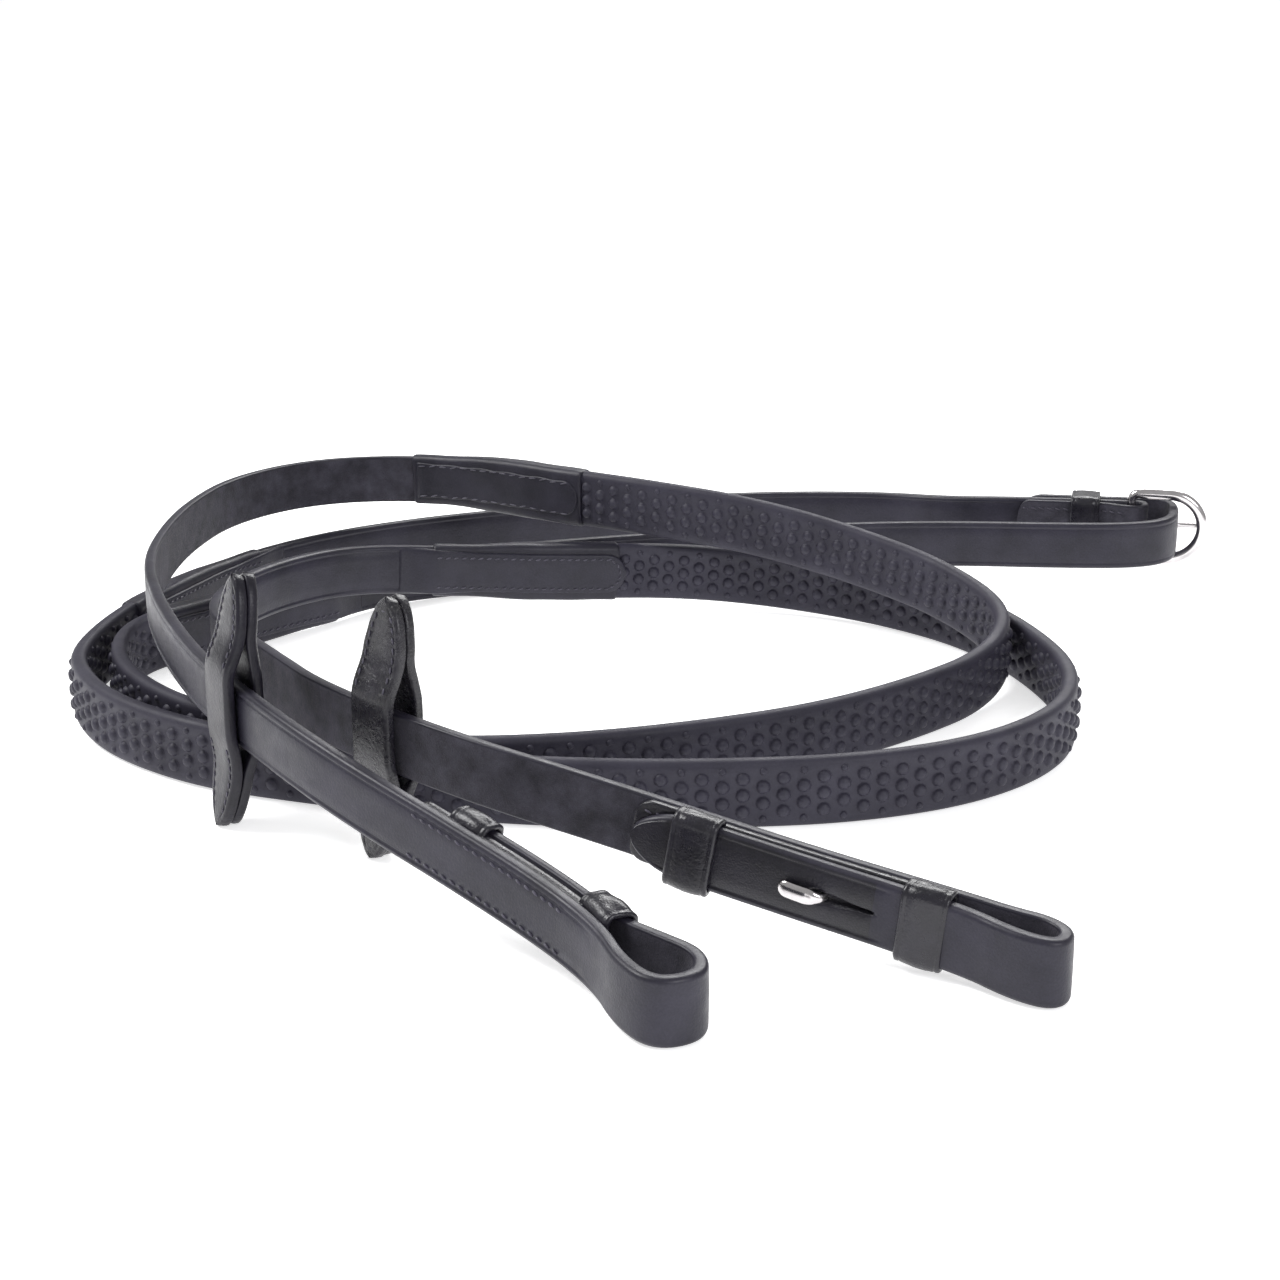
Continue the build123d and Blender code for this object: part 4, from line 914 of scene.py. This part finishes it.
for name, origin, d, mat, part in (("left", (-120.35, -78.85, 33.0), (-0.5159, 0.8566, 0.0), STOP, 2.5),
                                   ("right", (-79.75, -98.66, 33.0), (-0.7022, 0.7120, 0.0), STOP_CREASED, 2.9)):
    d = np.array(d)
    n = np.array([-d[1], d[0], 0.0])
    for which, side in (("outer", 1), ("inner", -1)):
        leaf(f"{name}_stop_{which}", f"{name}_stop_{which}_leaf", f"{name}_stop", np.array(origin) / 1000, d, n, side, mat, 0.1,
             part + (0.8 if side < 0 and name == "right" else 0.0))

# ------------------------------------------------------------------ buckle
BX = np.array([math.cos(BUCKLE_TURN), math.sin(BUCKLE_TURN), 0.0])
BY = np.array([0, 0, 1.0])
BZ = np.cross(BX, BY)
BO = place(BUCKLE[0], BUCKLE[1], 13.5)
r = 11.6
path = []
for a in np.linspace(-math.pi / 2, math.pi / 2, 40):
    path.append((28.4 - 1.6 - 13.5 + r * math.cos(a) + 0.0, r * math.sin(a)))
cut = 2.4
path += [(x, r) for x in np.linspace(28.4 - 1.6 - 13.5, cut, 10)[1:]]
path += [(cut - cut * math.sin(a), r - cut + cut * math.cos(a)) for a in np.linspace(0, math.pi / 2, 9)[1:]]
path += [(0.0, y) for y in np.linspace(r - cut, -r + cut, 24)[1:]]
path += [(cut - cut * math.cos(a), -r + cut - cut * math.sin(a)) for a in np.linspace(0, math.pi / 2, 9)[1:]]
path += [(x, -r) for x in np.linspace(cut, 28.4 - 1.6 - 13.5, 10)[1:-1]]
path = np.array(path)
rings = []
for i in range(len(path)):
    a, b_ = path[i - 1], path[(i + 1) % len(path)]
    tan = (b_ - a) / np.linalg.norm(b_ - a)
    out = np.array([tan[1], -tan[0]])
    bar = 1 - float(smoothstep(path[i][0], 0.2, 5.0))
    wide, thin = 1.95 * (1 - bar) + 1.55 * bar, 1.75 * (1 - bar) + 1.55 * bar
    ring = []
    for ang in np.linspace(0, 2 * math.pi, 20, endpoint=False):
        c, s_ = math.cos(ang), math.sin(ang)
        q = path[i] + out * wide * c
        ring.append(BO + (BX * q[0] + BY * q[1] + BZ * thin * (s_ if s_ < 0.75 or bar > 0.5 else 0.75 + (s_ - 0.75) * 0.8)) / 1000)
    rings.append(ring)
v, f, _ = skin(np.array(rings), closed=True)
o = outward(obj("buckle_frame_metal", v, f, [STEEL]))
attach(o, "buckle_frame")
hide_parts("buckle_frame")

tb = Build()
rings = []
for ang in np.linspace(0, 2 * math.pi, 36, endpoint=False):
    e = np.array([math.cos(ang), math.sin(ang)])
    ring = []
    for a in np.linspace(0, 2 * math.pi, 12, endpoint=False):
        rad = 2.55 + 0.85 * math.cos(a)
        ring.append(BO + (BX * e[0] * rad + BZ * e[1] * rad + BY * 1.15 * math.sin(a)) / 1000)
    rings.append(ring)
v, f, _ = skin(np.array(rings), closed=True)
tb.add(v, f)
pin = [(2.4, 0.0), (6.0, -0.75), (12.0, -2.05), (17.0, -3.1), (20.5, -3.45), (23.4, -3.5), (26.2, -3.35)]
ln = Line(np.array([BO + (BX * a + BZ * c) / 1000 for a, c in pin]))
rings = []
for x in np.concatenate([np.linspace(0, ln.length - 1.3, 30), ln.length - 1.3 + 1.3 * np.sin(np.linspace(0.1, math.pi / 2, 7))]):
    q, dd = ln.at(x)[:2]
    q, dd = q[0], dd[0]
    nn = np.cross(dd, BY)
    k = (1.15 - 0.25 * x / ln.length) * (1.0 if x < ln.length - 1.3 else math.sqrt(max(0.0, 1 - ((x - ln.length + 1.3) / 1.3) ** 2)) * 0.97 + 0.03)
    rings.append([q + (BY * k * math.cos(a) + nn * k * 0.9 * math.sin(a)) / 1000 for a in np.linspace(0, 2 * math.pi, 16, endpoint=False)])
v, f, _ = skin(np.array(rings))
tb.add(v, f)
o = outward(tb.done("buckle_tongue_metal", [STEEL]))
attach(o, "buckle_tongue")
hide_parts("buckle_tongue")

kc = buckle_point(-16.2, 3.4)
band("buckle_keeper_loop", "buckle_keeper", "root", place(kc[0], kc[1], 5.4 + 8.0), BX, -BZ, (3 * 3.2 + 1.5) / 2, 8.35, 10.0, 1.4, soft=0.1)

# stitches of the folded buckle end, on both faces of the stack
tail = right_hand.length
cs = Build()
for k in (-1, 1):
    stitch_row(cs, right_hand, tail - 37, tail - 22, k * 5.2, lambda s: 1.45, 1, pitch=2.7, length=1.9, tilt=0.28)
    stitch_row(cs, right_hand, tail - 37, tail - 22, k * 5.2, lambda s: 1.45, -1, pitch=2.7, length=1.9, tilt=0.28)
    stitch_row(cs, right_hand, tail - 20, tail - 3, k * 5.2, lambda s: 1.45, 1, pitch=2.7, length=1.9, tilt=0.28)
    stitch_row(cs, right_hand, tail - 20, tail - 3, k * 5.2, lambda s: 1.45, -1, pitch=2.7, length=1.9, tilt=0.28)
o = outward(cs.done("buckle_end_stitches", [THREAD_PAINTED_HIGHLIGHT]))
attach(o, "root")

# ------------------------------------------------------------------ floor, light
floor_mat = bpy.data.materials.new("floor")
floor_mat.use_nodes = True
fb = floor_mat.node_tree.nodes["Principled BSDF"]
fb.inputs["Base Color"].default_value = (0.93, 0.93, 0.93, 1)
fb.inputs["Roughness"].default_value = 0.9
fb.inputs["Specular IOR Level"].default_value = 0.1
fb.inputs["Emission Color"].default_value = (1.0, 1.0, 1.0, 1)
fb.inputs["Emission Strength"].default_value = 0.62
mesh = bpy.data.meshes.new("floor")
mesh.from_pydata([(-8, -4, 0), (8, -4, 0), (8, 14, 0), (-8, 14, 0)], [], [(0, 1, 2, 3)])
floor = bpy.data.objects.new("floor", mesh)
floor.location.z = -0.0002
mesh.materials.append(floor_mat)
bpy.context.scene.collection.objects.link(floor)

world = bpy.data.worlds.new("world")
bpy.context.scene.world = world
world.use_nodes = True
world.node_tree.nodes["Background"].inputs["Color"].default_value = (1.0, 1.0, 1.0, 1)
world.node_tree.nodes["Background"].inputs["Strength"].default_value = 0.42


def lamp(name, where, target, size, power, color=(1, 1, 1)):
    d = bpy.data.lights.new(name, "AREA")
    d.shape = "RECTANGLE"
    d.size, d.size_y = size
    d.energy = power
    d.color = color
    o = bpy.data.objects.new(name, d)
    o.location = where
    v = np.array(target, float) - np.array(where, float)
    v /= np.linalg.norm(v)
    o.rotation_euler = (math.acos(max(-1.0, min(1.0, -v[2]))), 0.0, math.atan2(-v[0], v[1]))
    bpy.context.scene.collection.objects.link(o)
    return o


lamp("key", (-0.85, 0.1, 1.05), (0, -0.02, 0), (0.55, 0.55), 15)
lamp("back", (0.35, 1.1, 0.95), (0, 0, 0), (1.0, 0.4), 13)
lamp("front", (0.75, -1.1, 0.75), (0, 0, 0.02), (0.6, 0.5), 7, (0.96, 0.96, 1.0))
bpy.context.scene.view_settings.view_transform = "Standard"
